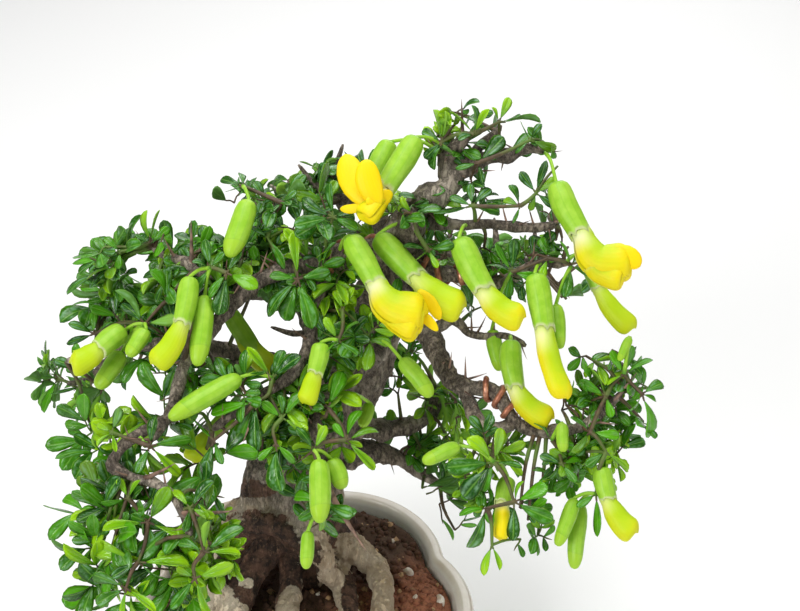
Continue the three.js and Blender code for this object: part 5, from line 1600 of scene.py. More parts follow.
def roughened(piece, furrow, fine):
    """Moves a piece's skin in and out: long furrows up the wood and fine flakes."""
    mesh = piece.data
    count = len(mesh.vertices)
    places = np.empty(count * 3, np.float32)
    normals = np.empty(count * 3, np.float32)
    mesh.vertices.foreach_get("co", places)
    mesh.vertices.foreach_get("normal", normals)
    places, normals = places.reshape(-1, 3), normals.reshape(-1, 3)
    lifts = []
    for place in places / MM:
        ridge = 1 - abs(noise.noise(Vector((place[0] * 0.34, place[1] * 0.34, place[2] * 0.11)))) * 2.4
        lump = noise.noise(Vector(place) * 0.16)
        flake = noise.noise(Vector((place[0] * 1.1, place[1] * 1.1, place[2] * 0.7)))
        lifts.append(furrow * (0.62 * ridge - 0.6 + 0.9 * lump) + fine * flake)
    places += normals * np.array(lifts, np.float32)[:, None] * MM
    mesh.vertices.foreach_set("co", places.ravel())
    mesh.update()


def make_trunk():
    form = Form()
    for name in ["trunk", *(f"root_{name}" for name in ROOTS), *THICK_LIMBS]:
        rows = limb_lines[name]
        rings = tube_rows(rows[:, :3], rows[:, 3], round_angles(20))
        form.tube(rings)
    trunk = shown("trunk_and_roots", form.mesh("trunk"))
    skin = trunk.modifiers.new("Skin", "REMESH")
    skin.mode = "VOXEL"
    skin.voxel_size = sizes().bark_grain
    trunk = applied(trunk)
    roughened(trunk, sizes().bark_relief / MM, FLAKES)
    mark_shade_and_soil(trunk)
    trunk.data.shade_smooth()
    trunk.data.materials.append(finish("bark"))
    finished(trunk, "bark", "wood")


def mark_shade_and_soil(piece):
    """Paints shade on the wood between the roots, and shade and soil on the listed places on them, which stay
    dark.
    """
    places = np.empty(len(piece.data.vertices) * 3, np.float32)
    piece.data.vertices.foreach_get("co", places)
    places = places.reshape(-1, 3) / MM
    gaps = {}
    for name in ["trunk", *(f"root_{name}" for name in ROOTS)]:
        reach = [np.linalg.norm(places - row[:3], axis=1) - row[3] for row in limb_lines[name]]
        gaps[name] = np.min(reach, axis=0)
    inner = np.minimum(gaps.pop("trunk"), gaps.pop("root_core"))
    outer = np.min(list(gaps.values()), axis=0)
    # Painted shade: wood nearer the trunk's core than the outer roots is darkened, and less so higher up.
    values = np.clip((outer - inner) / 2.4 + 0.35, 0, 0.8)
    values = values * np.clip((ROOT_TOP - places[:, 2]) / 12, 0, 1)
    across, down, _ = pictured(places)
    # Painted shade and soil at the listed picture places, and clean wood where the darkness is 0.
    for x, y, wide, high, value in WOOD_SHADE_AND_SOIL:
        near = np.hypot((across - x) / wide, (down - y) / high)
        values = np.where(near < 1.4, values + (value - values) * np.clip((1.4 - near) / 0.6, 0, 1), values)
    mark(piece.data, "hollow", values.astype(np.float32))


def rough_tube(form, rows, sides, seed, relief):
    """A branch: a tube whose rings swell at its joints and whose skin is furrowed."""
    length = np.linalg.norm(np.diff(rows[:, :3], axis=0), axis=1).sum()
    count = max(6, int(length / 0.9))
    rows = even_rows(rows[::4] if len(rows) > 12 else rows, count)
    radii = rows[:, 3].copy()
    for ring in range(count):
        knot = noise.noise(Vector((ring * 0.21, seed * 3.7, 0.5)))
        radii[ring] *= 1 + 0.34 * max(knot, -0.3)
    radii[-1] *= 0.55
    angles = round_angles(sides)
    rings = tube_rows(rows[:, :3], radii, angles)
    middle = rows[:, None, :3]
    way = rings - middle
    for i in range(count):
        for j in range(sides):
            angle = angles[j]
            at = Vector((math.cos(angle) * 1.3, math.sin(angle) * 1.3, i * 0.16 + seed * 5.1))
            lift = relief * (noise.noise(at * 1.7) + 0.5 * noise.noise(at * 4.1))
            way[i, j] *= 1 + lift
    form.tube(middle + way)


def make_branches():
    form = Form()
    for number, name in enumerate([*BACK_LIMBS, *LIMBS]):
        if name in THICK_LIMBS:
            continue
        rows = limb_lines[name]
        sides = 14 if rows[:, 3].max() > 2 else 10
        rough_tube(form, rows, sides, number, BRANCH_FURROWS)
    for number, rows in enumerate(side_twigs()):
        rough_tube(form, rows, 7, 50 + number, TWIG_FURROWS)
    branches = shown("branches", form.mesh("branches"), finish("bark"))
    finished(branches, "bark", "wood")


def side_twigs():
    """Short bent twigs on the limbs at the back, among the leaves that grow there."""
    twigs = []
    for number, name in enumerate(BACK_LIMBS):
        rows = limb_lines[name]
        for k, share in enumerate((0.35, 0.5, 0.64, 0.78, 0.9)):
            row = rows[int(share * (len(rows) - 1))]
            out = unit(row[:3] - CROWN_MIDDLE)
            side = unit(np.cross(out, UP)) * (1 if k % 2 else -1)
            length = 9 + 7 * draw(number + 5, k)
            rise = 0.9 * draw(number, k) - 0.1
            way = unit(out * 0.5 + side * (0.7 + 0.5 * draw(number + 6, k)) + UP * rise)
            bend = unit(way + UP * 0.5)
            middle = row[:3] + way * length * 0.5
            twig = [[*row[:3], 1.0], [*middle, 0.8], [*(middle + bend * length * 0.5), 0.5]]
            twigs.append(smooth_rows(twig, 5))
    return twigs


def thorn_forms():
    """One thorn: a slender cone along x, a unit long, with a bent tip."""
    share = np.linspace(0, 1, 6)
    path = np.column_stack([share, np.zeros(6), 0.08 * share**2])
    radii = np.array([0.075, 0.05, 0.04, 0.03, 0.018, 0.003])
    form = Form()
    form.tube(tube_rows(path, radii, round_angles(6)))
    yield form.mesh("thorn", unit_size=1.0)


def turned(along, face):
    """The Euler turn that lays x along a way and z as near to `face` as it can."""
    x = unit(along)
    z = unit(face - (face @ x) * x)
    return tuple(Matrix((x, np.cross(z, x), z)).transposed().to_euler())


def make_thorns():
    chance = np.random.default_rng(17)
    records = []
    for limb, share, *tip in THORNS:
        rows = limb_lines[limb]
        base = rows[min(int(share * len(rows)), len(rows) - 1)][:3]
        way = seen(tip) - base
        length = np.linalg.norm(way)
        records.append((base, turned(way, UP), [length, length, length], 0, 0.0, 0.0))
    for name in [*LIMBS, *BACK_LIMBS]:
        rows = limb_lines[name]
        for row in rows[3::5]:
            if row[3] > 2.6 or chance.random() < 0.25:
                continue
            out = unit(chance.normal(size=3) + UP * 0.4 + unit(row[:3] - CROWN_MIDDLE) * 0.6)
            length = sizes().thorn_length / MM * (0.45 + 0.55 * chance.random()) + row[3]
            if inside_box(row[:3] + out * length, 0.0):
                records.append((row[:3], turned(out, UP), [length] * 3, 0, 0.0, 0.0))
    thorns = copies("thorns", records, forms_named("Thorn Forms", thorn_forms), finish("thorn"))
    finished(thorns, "bark", "wood")


def make_wires():
    for name, (limb, start, end, turns) in WIRES.items():
        rows = limb_lines[limb]
        steps = int(turns * WIRE_STEPS)
        _, side, across = frames(rows[:, :3])
        path = []
        for k in range(steps + 1):
            share = start + (end - start) * k / steps
            place = share * (len(rows) - 1)
            at = min(int(place), len(rows) - 2)
            part = place - at
            middle = rows[at] * (1 - part) + rows[at + 1] * part
            angle = k / steps * turns * math.tau
            reach = middle[3] + WIRE_RADIUS * 0.9
            swing = side[at] * math.cos(angle) + across[at] * math.sin(angle)
            path.append([*(middle[:3] + swing * reach), WIRE_RADIUS])
        wire = rods(name.replace("wire", "copper"), [path], finish("wire"), sides=12)
        finished(wire, "wire", name)


# Flowers: a calyx or bud is [share of its length, share of its full radius]
PLUMP = [
    [0, 0.05], [0.012, 0.36], [0.035, 0.6], [0.08, 0.8], [0.15, 0.93], [0.27, 1], [0.45, 1.02], [0.65, 0.98],
    [0.84, 0.92], [1, 0.88],
]
PLUMP_BUD = [
    [0, 0.05], [0.015, 0.38], [0.04, 0.6], [0.09, 0.8], [0.2, 0.96], [0.36, 1], [0.55, 0.97], [0.7, 0.92],
    [0.755, 0.89], [0.77, 0.88], [0.84, 0.8], [0.92, 0.64], [0.97, 0.45], [0.99, 0.29], [1, 0.05],
]
BUD_MOUTH = 0.76
CALYX_SIDES = 20
BUD_SIDES = 16
FINE_ROWS = 60


def at_shares(path, shares):
    """Places on a smooth path at the given shares of its length."""
    rows = even_rows(path, FINE_ROWS)
    places = np.linspace(0, 1, FINE_ROWS)
    return np.column_stack([np.interp(shares, places, column) for column in rows.T])


def calyx_rings(path, radius, seed):
    """An open calyx: plump outside, five teeth round its slanted mouth, and a lining."""
    shares = np.array([share for share, _ in PLUMP])
    fine = np.unique(np.concatenate([shares, np.linspace(0.1, 1, 13)]))
    radii = np.interp(fine, shares, [size for _, size in PLUMP]) * radius
    middles = at_shares(path, fine)
    angles = round_angles(CALYX_SIDES)
    rings = tube_rows(middles, radii, angles, 0.93)
    along = frames(middles)[0]
    length = np.linalg.norm(np.diff(middles, axis=0), axis=1).sum()
    teeth = 0.1 * length * np.maximum(np.cos(5 * angles + seed), 0) ** 2
    slant = 0.035 * length * np.cos(angles)
    for ring, weight in ((-1, 1.0), (-2, 0.45), (-3, 0.15)):
        rings[ring] += along[ring] * ((teeth + slant) * weight)[:, None]
    dents = np.array([[0.02 * math.sin(3 * a + 9 * s + seed) for a in angles] for s in fine])
    rings = middles[:, None] + (rings - middles[:, None]) * (1 + dents[:, :, None])
    inner = [middles[k] + (rings[k] - middles[k]) * share for k, share in ((-1, 0.86), (-3, 0.82), (-4, 0.7))]
    return np.concatenate([rings, np.array(inner)])


def bud_rings(path, radius, seed):
    """A closed flower: a plump calyx, its slanted mouth, and the blunt petals that fill it."""
    shares = np.array([share for share, _ in PLUMP_BUD])
    fine = np.unique(np.round(np.concatenate([shares, np.linspace(0.1, 0.9, 9)]), 4))
    radii = np.interp(fine, shares, [size for _, size in PLUMP_BUD]) * radius
    middles = at_shares(path, fine)
    angles = round_angles(BUD_SIDES)
    rings = tube_rows(middles, radii, angles, 0.88)
    along = frames(middles)[0]
    length = np.linalg.norm(np.diff(middles, axis=0), axis=1).sum()
    near_mouth = np.exp(-(((fine - BUD_MOUTH) / 0.15) ** 2))
    rings += along[:, None] * (near_mouth[:, None] * 0.03 * length * np.cos(angles + seed))[:, :, None]
    dents = np.array([[0.03 * math.sin(2 * a + 8 * s + seed) for a in angles] for s in fine])
    return middles[:, None] + (rings - middles[:, None]) * (1 + dents[:, :, None])


def bowed(base, tip, bend):
    """A path of three places between two ends, bowed by a share of its length."""
    base, tip = np.array(base), np.array(tip)
    way = tip - base
    side = unit(np.cross(way, SIGHT))
    return np.array([base, (base + tip) / 2 + side * bend * np.linalg.norm(way), tip])


def pedicel_rows(start, base, into):
    """A flower's stalk: it leaves the wood, arches over and enters the calyx."""
    start, base = np.array(start), np.array(base)
    inside = base + unit(into - base) * 1.2
    rise = np.linalg.norm(base - start) * 0.16
    middle = (start + base) / 2 + UP * rise
    rows = [[*start, 0.55], [*middle, 0.42], [*base, 0.46], [*inside, 0.6]]
    return smooth_rows(rows, 4)


def cornet(form, path, mouth, full, hood, seed):
    """Petals that hold together: a keel that swells to a blunt end, with a hood on an open flower."""
    path = np.array(path)
    chord = (path[0] + path[-1]) / 2 - path[len(path) // 2]
    back = unit(chord) if np.linalg.norm(chord) > 0.4 else unit(UP - 0.5 * SIGHT)
    shares = np.concatenate([np.linspace(0, 0.8, 17), [0.84, 0.88, 0.915, 0.945, 0.968, 0.985, 0.996, 1.0]])
    rounding = np.clip((shares - 0.8) / 0.2, 0, 1)
    widths = [0.88 * mouth, 0.92 * mouth, 0.5 * (mouth + full), 0.93 * full, full, 0.96 * full]
    plain = np.interp(shares, [0, 0.15, 0.36, 0.6, 0.78, 1], widths)
    girth = plain * np.sqrt(np.clip(1 - rounding**3, 0.004, 1))
    middles = at_shares(path, shares)
    middles += frames(middles, back)[1] * (0.22 * full * rounding**1.5)[:, None]
    angles = round_angles(24)
    flat = np.interp(shares, [0.1, 0.5], [0.93, 0.74])
    rings = tube_rows(middles, girth, angles, flat, back)
    short = 0.3 * full * shares[:, None] ** 4 * (1 - np.cos(angles))[None, :] / 2
    form.tube(rings - frames(middles, back)[0][:, None] * short[:, :, None])
    if not hood:
        return
    over = middles[:-3]
    reach = shares[:-3, None]
    turns = np.linspace(-2.7, 2.7, 35)
    margin = (np.abs(turns) / 2.7)[None, :]
    sheet = tube_rows(over, girth[:-3] + 0.12, turns, flat[:-3] + 0.03, back)
    swell = 0.02 * np.sin(7 * reach + seed) * margin**8 + hood * (1 - 0.5 * margin) * reach**7
    swell = swell + 0.5 * hood * np.sin(4 * turns + seed)[None, :] * reach**9
    sheet = over[:, None] + (sheet - over[:, None]) * (1 + swell[:, :, None])
    pull = 0.4 * full * reach**4 * (1 - np.cos(turns))[None, :] / 2
    form.sheet(sheet - frames(over, back)[0][:, None] * pull[:, :, None], 0.2)


# The width along a petal that stands free: [share of its length, share of its width]
LOBE = [
    [0, 0.1], [0.03, 0.4], [0.12, 0.62], [0.26, 0.85], [0.42, 0.98], [0.58, 1], [0.72, 0.93], [0.84, 0.76],
    [0.92, 0.55], [0.97, 0.33], [1, 0.04],
]


def lobe(form, base, tip, radius):
    """One petal that stands free of the others, a flat egg shape."""
    shares, widths = np.array(LOBE).T
    path = at_shares(bowed(base, tip, 0.08), shares)
    form.level = 1.2
    form.tube(tube_rows(path, widths * radius, round_angles(16), 0.32, unit(np.cross(tip - base, SIGHT))))
    form.level = 0.0


def corolla(form, name, behind, table, seed):
    """All petals of one flower, from a place inside its calyx."""
    opened = OPEN_BLOOMS.get(name, {})
    mouth, full = table["keel_radii"]
    mouth = max(mouth, 0.86 * table["radius"])
    cornets = opened.get("cornets", [[*table["keel"], mouth, full * SLENDER.get(name, 1.02)]])
    for *path, start, end in cornets:
        places = [seen(place) for place in path]
        if path[0] == table["keel"][0]:
            places.insert(0, behind)
        cornet(form, places, start, end, HOODS.get(name, 0.0), seed)
    for base, tip, radius in opened.get("lobes", []):
        lobe(form, seen(base), seen(tip), radius)


def tint(piece, greenness):
    """Gives a flower's petals their share of green."""
    mark(piece.data, "greenness", np.full(len(piece.data.vertices), greenness, np.float32))


def make_blooms():
    for seed, (name, table) in enumerate({**BLOOMS, **SIDE_BLOOMS}.items()):
        calyx = [seen(place) for place in table["calyx"]]
        mouth = seen(table["keel"][0])
        form = Form()
        corolla(form, name, mouth + unit(calyx[1] - mouth) * 1.4, table, seed)
        made = shown(name.replace("bloom", "petals"), form.mesh(name), finish("petal"))
        tint(made, GREEN_BLOOMS.get(name, 0.0))
        finished(made, "petal", name + "_petals")
        if name in BLOOMS:
            make_calyx(name.replace("bloom", "calyx"), calyx, table["radius"], seed, name + "_calyx")
    make_hidden_bloom()


def make_calyx(name, places, radius, seed, *nodes):
    form = Form()
    form.tube(calyx_rings(places, radius, seed))
    start = nearest_wood(places[0] + UP * 3)[:3]
    stalk = pedicel_rows(start, places[0], places[1])
    form.tube(tube_rows(stalk[:, :3], stalk[:, 3], round_angles(8)))
    made = shown(name, form.mesh(name), finish("calyx"))
    return finished(made, "calyx", *nodes) if nodes else made


def make_hidden_bloom():
    places = [seen(place) for place in [*HIDDEN_BLOOM["calyx"], HIDDEN_BLOOM["keel"][1]]]
    form = Form()
    corolla(form, "bloom_14", places[1], HIDDEN_BLOOM, 14)
    petals = shown("petals_14_part", form.mesh("petals_14"), finish("petal"))
    tint(petals, GREEN_BLOOMS["bloom_14"])
    calyx = make_calyx("calyx_14_part", places, HIDDEN_BLOOM["radius"], 14)
    finished(merged("flower_14", [petals, calyx]), "petal", "bloom_14")


# Leaves: a leaflet's width as a share of its length, and how far its face is scattered
LEAFLET_WIDTH = 0.46
WIDEST_LEAFLET = 5.4
LEAFLET_SCATTER = 0.42
# Room between a leaf and a flower, in space and in the picture
FLOWER_ROOM = 0.6
PICTURE_ROOM = 0.8
# The longest stretch from one rosette to the next, and the longest twig behind the front leaves
LONGEST_SHOOT = 12
LONGEST_TWIG = 24
# How far leaves may pass the solids' size, as a share of each side
BOX_SPARE = 0.022


def leaflet_forms():
    """Five obovate leaflets, a unit long and wide, folded, domed, hooked, twisted and young."""
    shares = [0, 0.1, 0.28, 0.48, 0.66, 0.82, 0.94, 1.0]
    halves = [0.05, 0.14, 0.29, 0.42, 0.5, 0.47, 0.29, 0.03]
    for number, (fold, droop, twist, hook) in enumerate(
        [(0.34, 0.1, 0.0, 0.0), (0.18, 0.2, 0.2, 0.06), (0.55, 0.02, -0.2, 0.1), (0.12, -0.1, 0.3, 0.0),
         (1.0, 0.06, 0.0, 0.0)]
    ):
        rows = []
        for share, half in zip(shares, halves):
            angle = twist * share
            row = []
            for u in (1, 0.5, 0, -0.5, -1):
                across = u * half * (0.62 if fold > 0.9 else 1)
                rise = fold * abs(u) * half * 0.5 - droop * share**2 + hook * math.sin(math.pi * share)
                y = across * math.cos(angle) - rise * math.sin(angle)
                row.append([share, y, across * math.sin(angle) + rise * math.cos(angle)])
            rows.append(row)
        form = Form()
        form.sheet(np.array(rows), 0.035)
        yield form.mesh(f"leaflet_{number}", unit_size=1.0)


def youth_at(place, chance):
    """How young a leaflet is, from 0 to 1: young at the young spots, and here and there elsewhere."""
    across, down, _ = pictured(place)
    for x, y, radius in YOUNG_SPOTS:
        if math.hypot(across - x, down - y) < radius:
            return 0.72 + 0.28 * chance.random()
    if chance.random() < (0.2 if across < 240 and down > 380 else 0.17):
        return 0.3 + 0.5 * chance.random()
    return 0.04 * chance.random()


def shade_with_painted_light_at(place, chance):
    """How light a grown leaflet is: a random tone with painted light by region, darker high in the crown
    where the overhead lamp falls strongly, and lighter low at the right, which lies in shade.
    """
    across, down, _ = pictured(place)
    if down < 220:
        return 0.34 * chance.random()
    return 0.3 + 0.7 * chance.random() if across > 540 and down > 340 else 0.85 * chance.random()


def leaf_length(place, far):
    """Leaves are longest low at the left and shortest in the parts of the crown at the right."""
    across, down, _ = pictured(place)
    if across > 400:
        return far
    return 8.8 if across < 230 and down > 400 else 7.4


def is_open(place):
    """Whether a place shows outside the crown's outline or in a gap between its leaves."""
    across, down, _ = pictured(place)
    if any(math.hypot((across - x) / wide, (down - y) / high) < 1 for x, y, wide, high in OPEN_SPOTS):
        return True
    crossings = 0
    for (x, y), (next_x, next_y) in zip(CROWN_OUTLINE, CROWN_OUTLINE[1:] + CROWN_OUTLINE[:1]):
        if (y > down) != (next_y > down) and across < x + (down - y) / (next_y - y) * (next_x - x):
            crossings += 1
    return crossings % 2 == 0


def inside_box(place, room=1.0):
    """Whether a place stays within the model's size, with a little room."""
    low, high = (np.array(corner) / MM for corner in CAD_BOX)
    spare = BOX_SPARE * (high - low) - room
    return bool(np.all(place > low - spare) and np.all(place < high + spare))


def flower_lines():
    """Each flower and bud as picture lines and their depth, to keep the leaves clear of them."""
    lines = []
    for table in [*BLOOMS.values(), *SIDE_BLOOMS.values()]:
        path = [seen(place) for place in table["calyx"] + table["keel"]]
        lines += [(a, b, table["radius"] + 0.9) for a, b in zip(path, path[1:])]
        lines += [(path[3], seen(row), row[3] / 2) for row in table["petals"]]
    for base, tip, radius in BUDS.values():
        lines.append((seen(base), seen(tip), radius + 0.4))
    return lines


class Greenery:
    """Gathers what grows on one leafy stem, and then makes it in one piece."""

    flowers = None

    def __init__(self, seed):
        self.chance = np.random.default_rng(seed)
        self.leaflets = []
        self.stems = []
        self.calyces = Form()
        if Greenery.flowers is None:
            Greenery.flowers = flower_lines()

    def covers_flower(self, place):
        """Whether a leaf at this place would hide a flower or cut through it."""
        place = np.asarray(place)
        depth = (place - TARGET) @ SIGHT
        for a, b, radius in Greenery.flowers:
            share = np.clip(((place - a) @ (b - a)) / ((b - a) @ (b - a)), 0, 1)
            on_line = a + (b - a) * share
            gap = place - on_line
            aside = np.linalg.norm(gap - (gap @ SIGHT) * SIGHT)
            if np.linalg.norm(gap) < radius + FLOWER_ROOM:
                return True
            if aside < radius + PICTURE_ROOM and depth < (on_line - TARGET) @ SIGHT + 1:
                return True
        return False

    def has_room(self, place):
        """Whether a rosette here is inside the crown and clear of the flowers."""
        return not is_open(place) and not self.covers_flower(place) and inside_box(place)

    def leaflet(self, base, tip, face, youth=None, shade=None):
        base, tip = np.asarray(base, float), np.asarray(tip, float)
        way = tip - base
        length = np.linalg.norm(way)
        youth = youth_at(tip, self.chance) if youth is None else youth
        face = unit(face) + self.chance.normal(size=3) * LEAFLET_SCATTER
        width = min(LEAFLET_WIDTH * length * self.chance.uniform(0.88, 1.1), WIDEST_LEAFLET)
        form = 4 if youth > 0.6 and self.chance.random() < 0.4 else int(self.chance.integers(0, 4))
        shade = shade_with_painted_light_at(tip, self.chance) if shade is None else shade
        record = (base, turned(way, face), [length, width, length], form, youth, shade)
        self.leaflets.append(record)

    def stem(self, *rows):
        self.stems.append(smooth_rows(rows, 3))

    def leaf(self, core, way, face, length, shade=None):
        """One leaf: two pairs of leaflets on a short stalk that ends in a spine."""
        way = unit(way)
        face = unit(face - (face @ way) * way)
        side = np.cross(face, way)
        reach = length * self.chance.uniform(0.35, 0.6)
        fork = core + way * reach
        if not inside_box(fork + way * length) or self.covers_flower(fork + way * 0.6 * length):
            return
        if is_open(fork + way * 0.7 * length):
            return
        spine = fork + way * 1.3 + face * 0.3
        middle = core + way * reach * 0.5 + face * 0.3
        self.stem([*core, 0.26], [*middle, 0.22], [*fork, 0.2], [*spine, 0.06])
        youth = youth_at(fork + way * length * 0.5, self.chance)
        for start, spread, size in ((fork, 0.5, 1.0), (core + way * reach * 0.62, 1.05, 0.74)):
            for sign in (-1, 1):
                angle = spread * self.chance.uniform(0.8, 1.25)
                out = way * math.cos(angle) + side * sign * math.sin(angle)
                out = unit(out + face * self.chance.uniform(-0.1, 0.3))
                tip = start + out * length * size * self.chance.uniform(0.85, 1.1)
                if not is_open(tip) and not self.covers_flower(tip) and inside_box(tip, 0.2):
                    self.leaflet(start, tip, face + 0.25 * out, youth=youth, shade=shade)

    def rosette(self, core, face, count, length, shade=None):
        """Leaves all round a short shoot, opened towards `face`."""
        face = unit(face)
        east = unit(np.cross(UP if abs(face[2]) < 0.9 else ACROSS, face))
        north = np.cross(face, east)
        start = self.chance.uniform(0, math.tau)
        for k in range(count):
            angle = start + (k + self.chance.uniform(-0.25, 0.25)) / count * math.tau
            out = east * math.cos(angle) + north * math.sin(angle)
            way = out + face * self.chance.uniform(0.25, 0.75)
            self.leaf(core, way, face, length * self.chance.uniform(0.8, 1.12), shade)

    def calyx(self, rings, stalk, closed=True):
        self.calyces.level = 2.0 if closed else 0.0
        self.calyces.tube(rings)
        self.calyces.level = 0.0
        self.calyces.tube(tube_rows(stalk[:, :3], stalk[:, 3], round_angles(7)))

    def grow(self, name, node):
        forms = forms_named("Leaflets", leaflet_forms)
        parts = [copies(name + "_leaflets", self.leaflets, forms, finish("leaf"))]
        parts.append(rods(name + "_stems", self.stems, finish("twig"), sides=5))
        if self.calyces.faces:
            parts.append(shown(name + "_calyces", self.calyces.mesh(name), finish("calyx")))
        return finished(merged(name, parts), "leaf", node)


tabled_tips = 0


def tabled_rosette(green, core, row, tips):
    """A rosette at the front of the crown, whose leaflets reach for their picture places."""
    global tabled_tips
    depth = row[2]
    for across, down in tips:
        tip = seen([across, down, depth + 6 * (draw(7, tabled_tips) - 0.5)])
        tabled_tips += 1
        way = tip - core
        base = core + way * 0.16
        green.stem([*core, 0.3], [*base, 0.22])
        green.leaflet(base, tip, FACE)


def grow_spray(number, name, table, thicket):
    green = Greenery(100 + number)
    cores = []
    for shoot in table["shoots"]:
        for row, *tips in shoot:
            core = seen(row)
            grown_from = min(cores, key=lambda place: np.linalg.norm(place - core)) if cores else None
            if not cores or row is shoot[0][0] and np.linalg.norm(grown_from - core) > LONGEST_SHOOT:
                grown_from = nearest_wood(core)[:3]
            middle = (grown_from + core) / 2 + green.chance.normal(size=3) * 0.7
            green.stem([*grown_from, 0.6], [*middle, 0.48], [*core, 0.36])
            cores.append(core)
            tabled_rosette(green, core, row, tips)
            add_layers(green, core)
    for bud in table.get("buds", []):
        hang_bud(green, cores, bud, number)
    for bloom in table.get("blooms", []):
        hang_calyx(green, cores, SIDE_BLOOMS[bloom], number)
    for place in thicket:
        filling_rosette(green, place)
    return green.grow(name.replace("spray", "leaves"), name)


def filling_rosette(green, place):
    """Leaves on a bent twig from the nearest wood, behind the leaves at the front."""
    if not green.has_room(place):
        return
    start = nearest_wood(place)[:3]
    length = np.linalg.norm(place - start)
    if length > LONGEST_TWIG:
        return
    middle = (start + place) / 2 + UP * 0.12 * length + green.chance.normal(size=3) * 0.06 * length
    green.stem([*start, 0.6], [*middle, 0.46], [*place, 0.32])
    out = unit(place - CROWN_MIDDLE)
    face = FACE + 0.7 * out + green.chance.normal(size=3) * 0.3
    green.rosette(place, face, 3, leaf_length(place, 6))


def thickets():
    """Places of the filling rosettes, each listed with the spray whose leaves are nearest."""
    chance = np.random.default_rng(41)
    cores = []
    for name, table in SPRAYS.items():
        cores += [(seen(row), name) for shoot in table["shoots"] for row, *_ in shoot]
    places = [seen(row) for row in FILLING]
    for across, down, wide, high, count, near in THICKETS:
        for _ in range(count):
            turn, reach = chance.uniform(0, math.tau), math.sqrt(chance.random())
            x, y = across + wide * reach * math.cos(turn), down + high * reach * math.sin(turn)
            places.append(seen([x, y, near + chance.uniform(0, 18)]))
    grouped = {name: [] for name in SPRAYS}
    for place in places:
        _, name = min(cores, key=lambda pair: np.linalg.norm(pair[0] - place))
        grouped[name].append(place)
    return grouped


def add_layers(green, core):
    """More rosettes behind one at the front, on twigs of their own."""
    across, down, _ = pictured(core)
    if across < 240 and down > 400:
        return
    for layer in range(sizes().leaf_layers):
        aside = green.chance.uniform(-7, 7, size=2)
        depth = 4 + 4 * layer + green.chance.uniform(0, 3)
        place = core + ACROSS * aside[0] + SIGHT_UP * aside[1] + SIGHT * depth
        if not green.has_room(place):
            continue
        green.stem([*core, 0.36], [*((core + place) / 2 + UP * 0.6), 0.34], [*place, 0.3])
        out = unit(place - CROWN_MIDDLE)
        # Painted shade: the rosettes behind the front ones take the darker half of the leaf tones.
        shade = 0.5 * green.chance.random()
        green.rosette(place, FACE + 0.5 * out, 3, leaf_length(place, 6), shade)


def nearest_core(cores, place):
    """The rosette that a bud or flower below it hangs from."""
    return min(cores, key=lambda core: np.linalg.norm(core - place - UP * 2))


def hang_bud(green, cores, name, seed):
    base, tip, radius = BUDS[name]
    path = bowed(seen(base), seen(tip), 0.05 * (draw(9, int(name[-2:])) - 0.3))
    stalk = pedicel_rows(nearest_core(cores, path[0]), path[0], path[1])
    green.calyx(bud_rings(path, radius, seed), stalk)


def hang_calyx(green, cores, table, seed):
    places = [seen(place) for place in table["calyx"]]
    stalk = pedicel_rows(nearest_core(cores, places[0]), places[0], places[1])
    green.calyx(calyx_rings(places, table["radius"], seed), stalk, closed=False)


def ruled_cores(limb, count, seed):
    end = limb_lines[limb][-1][:3]
    outwards = unit(end - CROWN_MIDDLE)
    sideways = unit(np.cross(outwards, UP))
    for i, (out, side, rise) in enumerate(FAN[:count]):
        sway = np.array([6 * (draw(seed, 3 * i + k) - 0.5) for k in range(3)])
        yield end + outwards * out + sideways * side + UP * rise + sway


def grow_ruled_spray(number, name, limb, count, leaflets, seed):
    green = Greenery(300 + number)
    cores = list(ruled_cores(limb, count, seed))
    for i, core in enumerate(cores):
        start = nearest_wood(core)[:3]
        green.stem([*start, 0.6], [*((start + core) / 2 + UP * 0.8), 0.48], [*core, 0.36])
        out = unit(core - CROWN_MIDDLE)
        side = unit(np.cross(out, UP))
        top = np.cross(side, out)
        for k in range(leaflets):
            angle = (k + draw(seed, 50 + i)) / leaflets * math.tau
            length = 7.5 + 3 * draw(seed, 100 + 10 * i + k)
            way = side * math.cos(angle) + top * math.sin(angle) + out * 0.35
            tip = core + way * length
            if inside_box(tip, 0.0) and not is_open(tip):
                green.stem([*core, 0.3], [*(core + way * 1.2), 0.22])
                green.leaflet(core + way * 1.2, tip, out + 0.6 * UP)
        green.rosette(core + out * 2, out + 0.5 * UP, 4, 7.5)
        green.rosette(core - UP * 3 + side * 4, out, 3, 7)
    dress_limb(green, limb, side_rosettes=3)
    return green.grow(name.replace("spray", "leaves"), name)


def dress_limb(green, limb, side_rosettes):
    """Rosettes along a limb of the back and on its side twigs."""
    rows = limb_lines[limb]
    lengths = np.concatenate([[0], np.cumsum(np.linalg.norm(np.diff(rows[:, :3], axis=0), axis=1))])
    spacing = sizes().twig_spacing / MM
    for distance in np.arange(lengths[-1] * 0.28, lengths[-1], spacing):
        row = rows[min(np.searchsorted(lengths, distance), len(rows) - 1)]
        out = unit(row[:3] - CROWN_MIDDLE)
        side = unit(np.cross(out, UP))
        for k in range(side_rosettes):
            angle = (k + green.chance.random()) / side_rosettes * math.tau
            way = side * math.cos(angle) + UP * math.sin(angle) * 0.9 + out * 0.5
            place = row[:3] + unit(way) * green.chance.uniform(4, 10)
            if not green.has_room(place):
                continue
            green.stem([*row[:3], 0.6], [*((row[:3] + place) / 2 + UP * 0.5), 0.5], [*place, 0.4])
            green.rosette(place, unit(way) + 0.5 * UP + 0.3 * out, 3, 7.2)


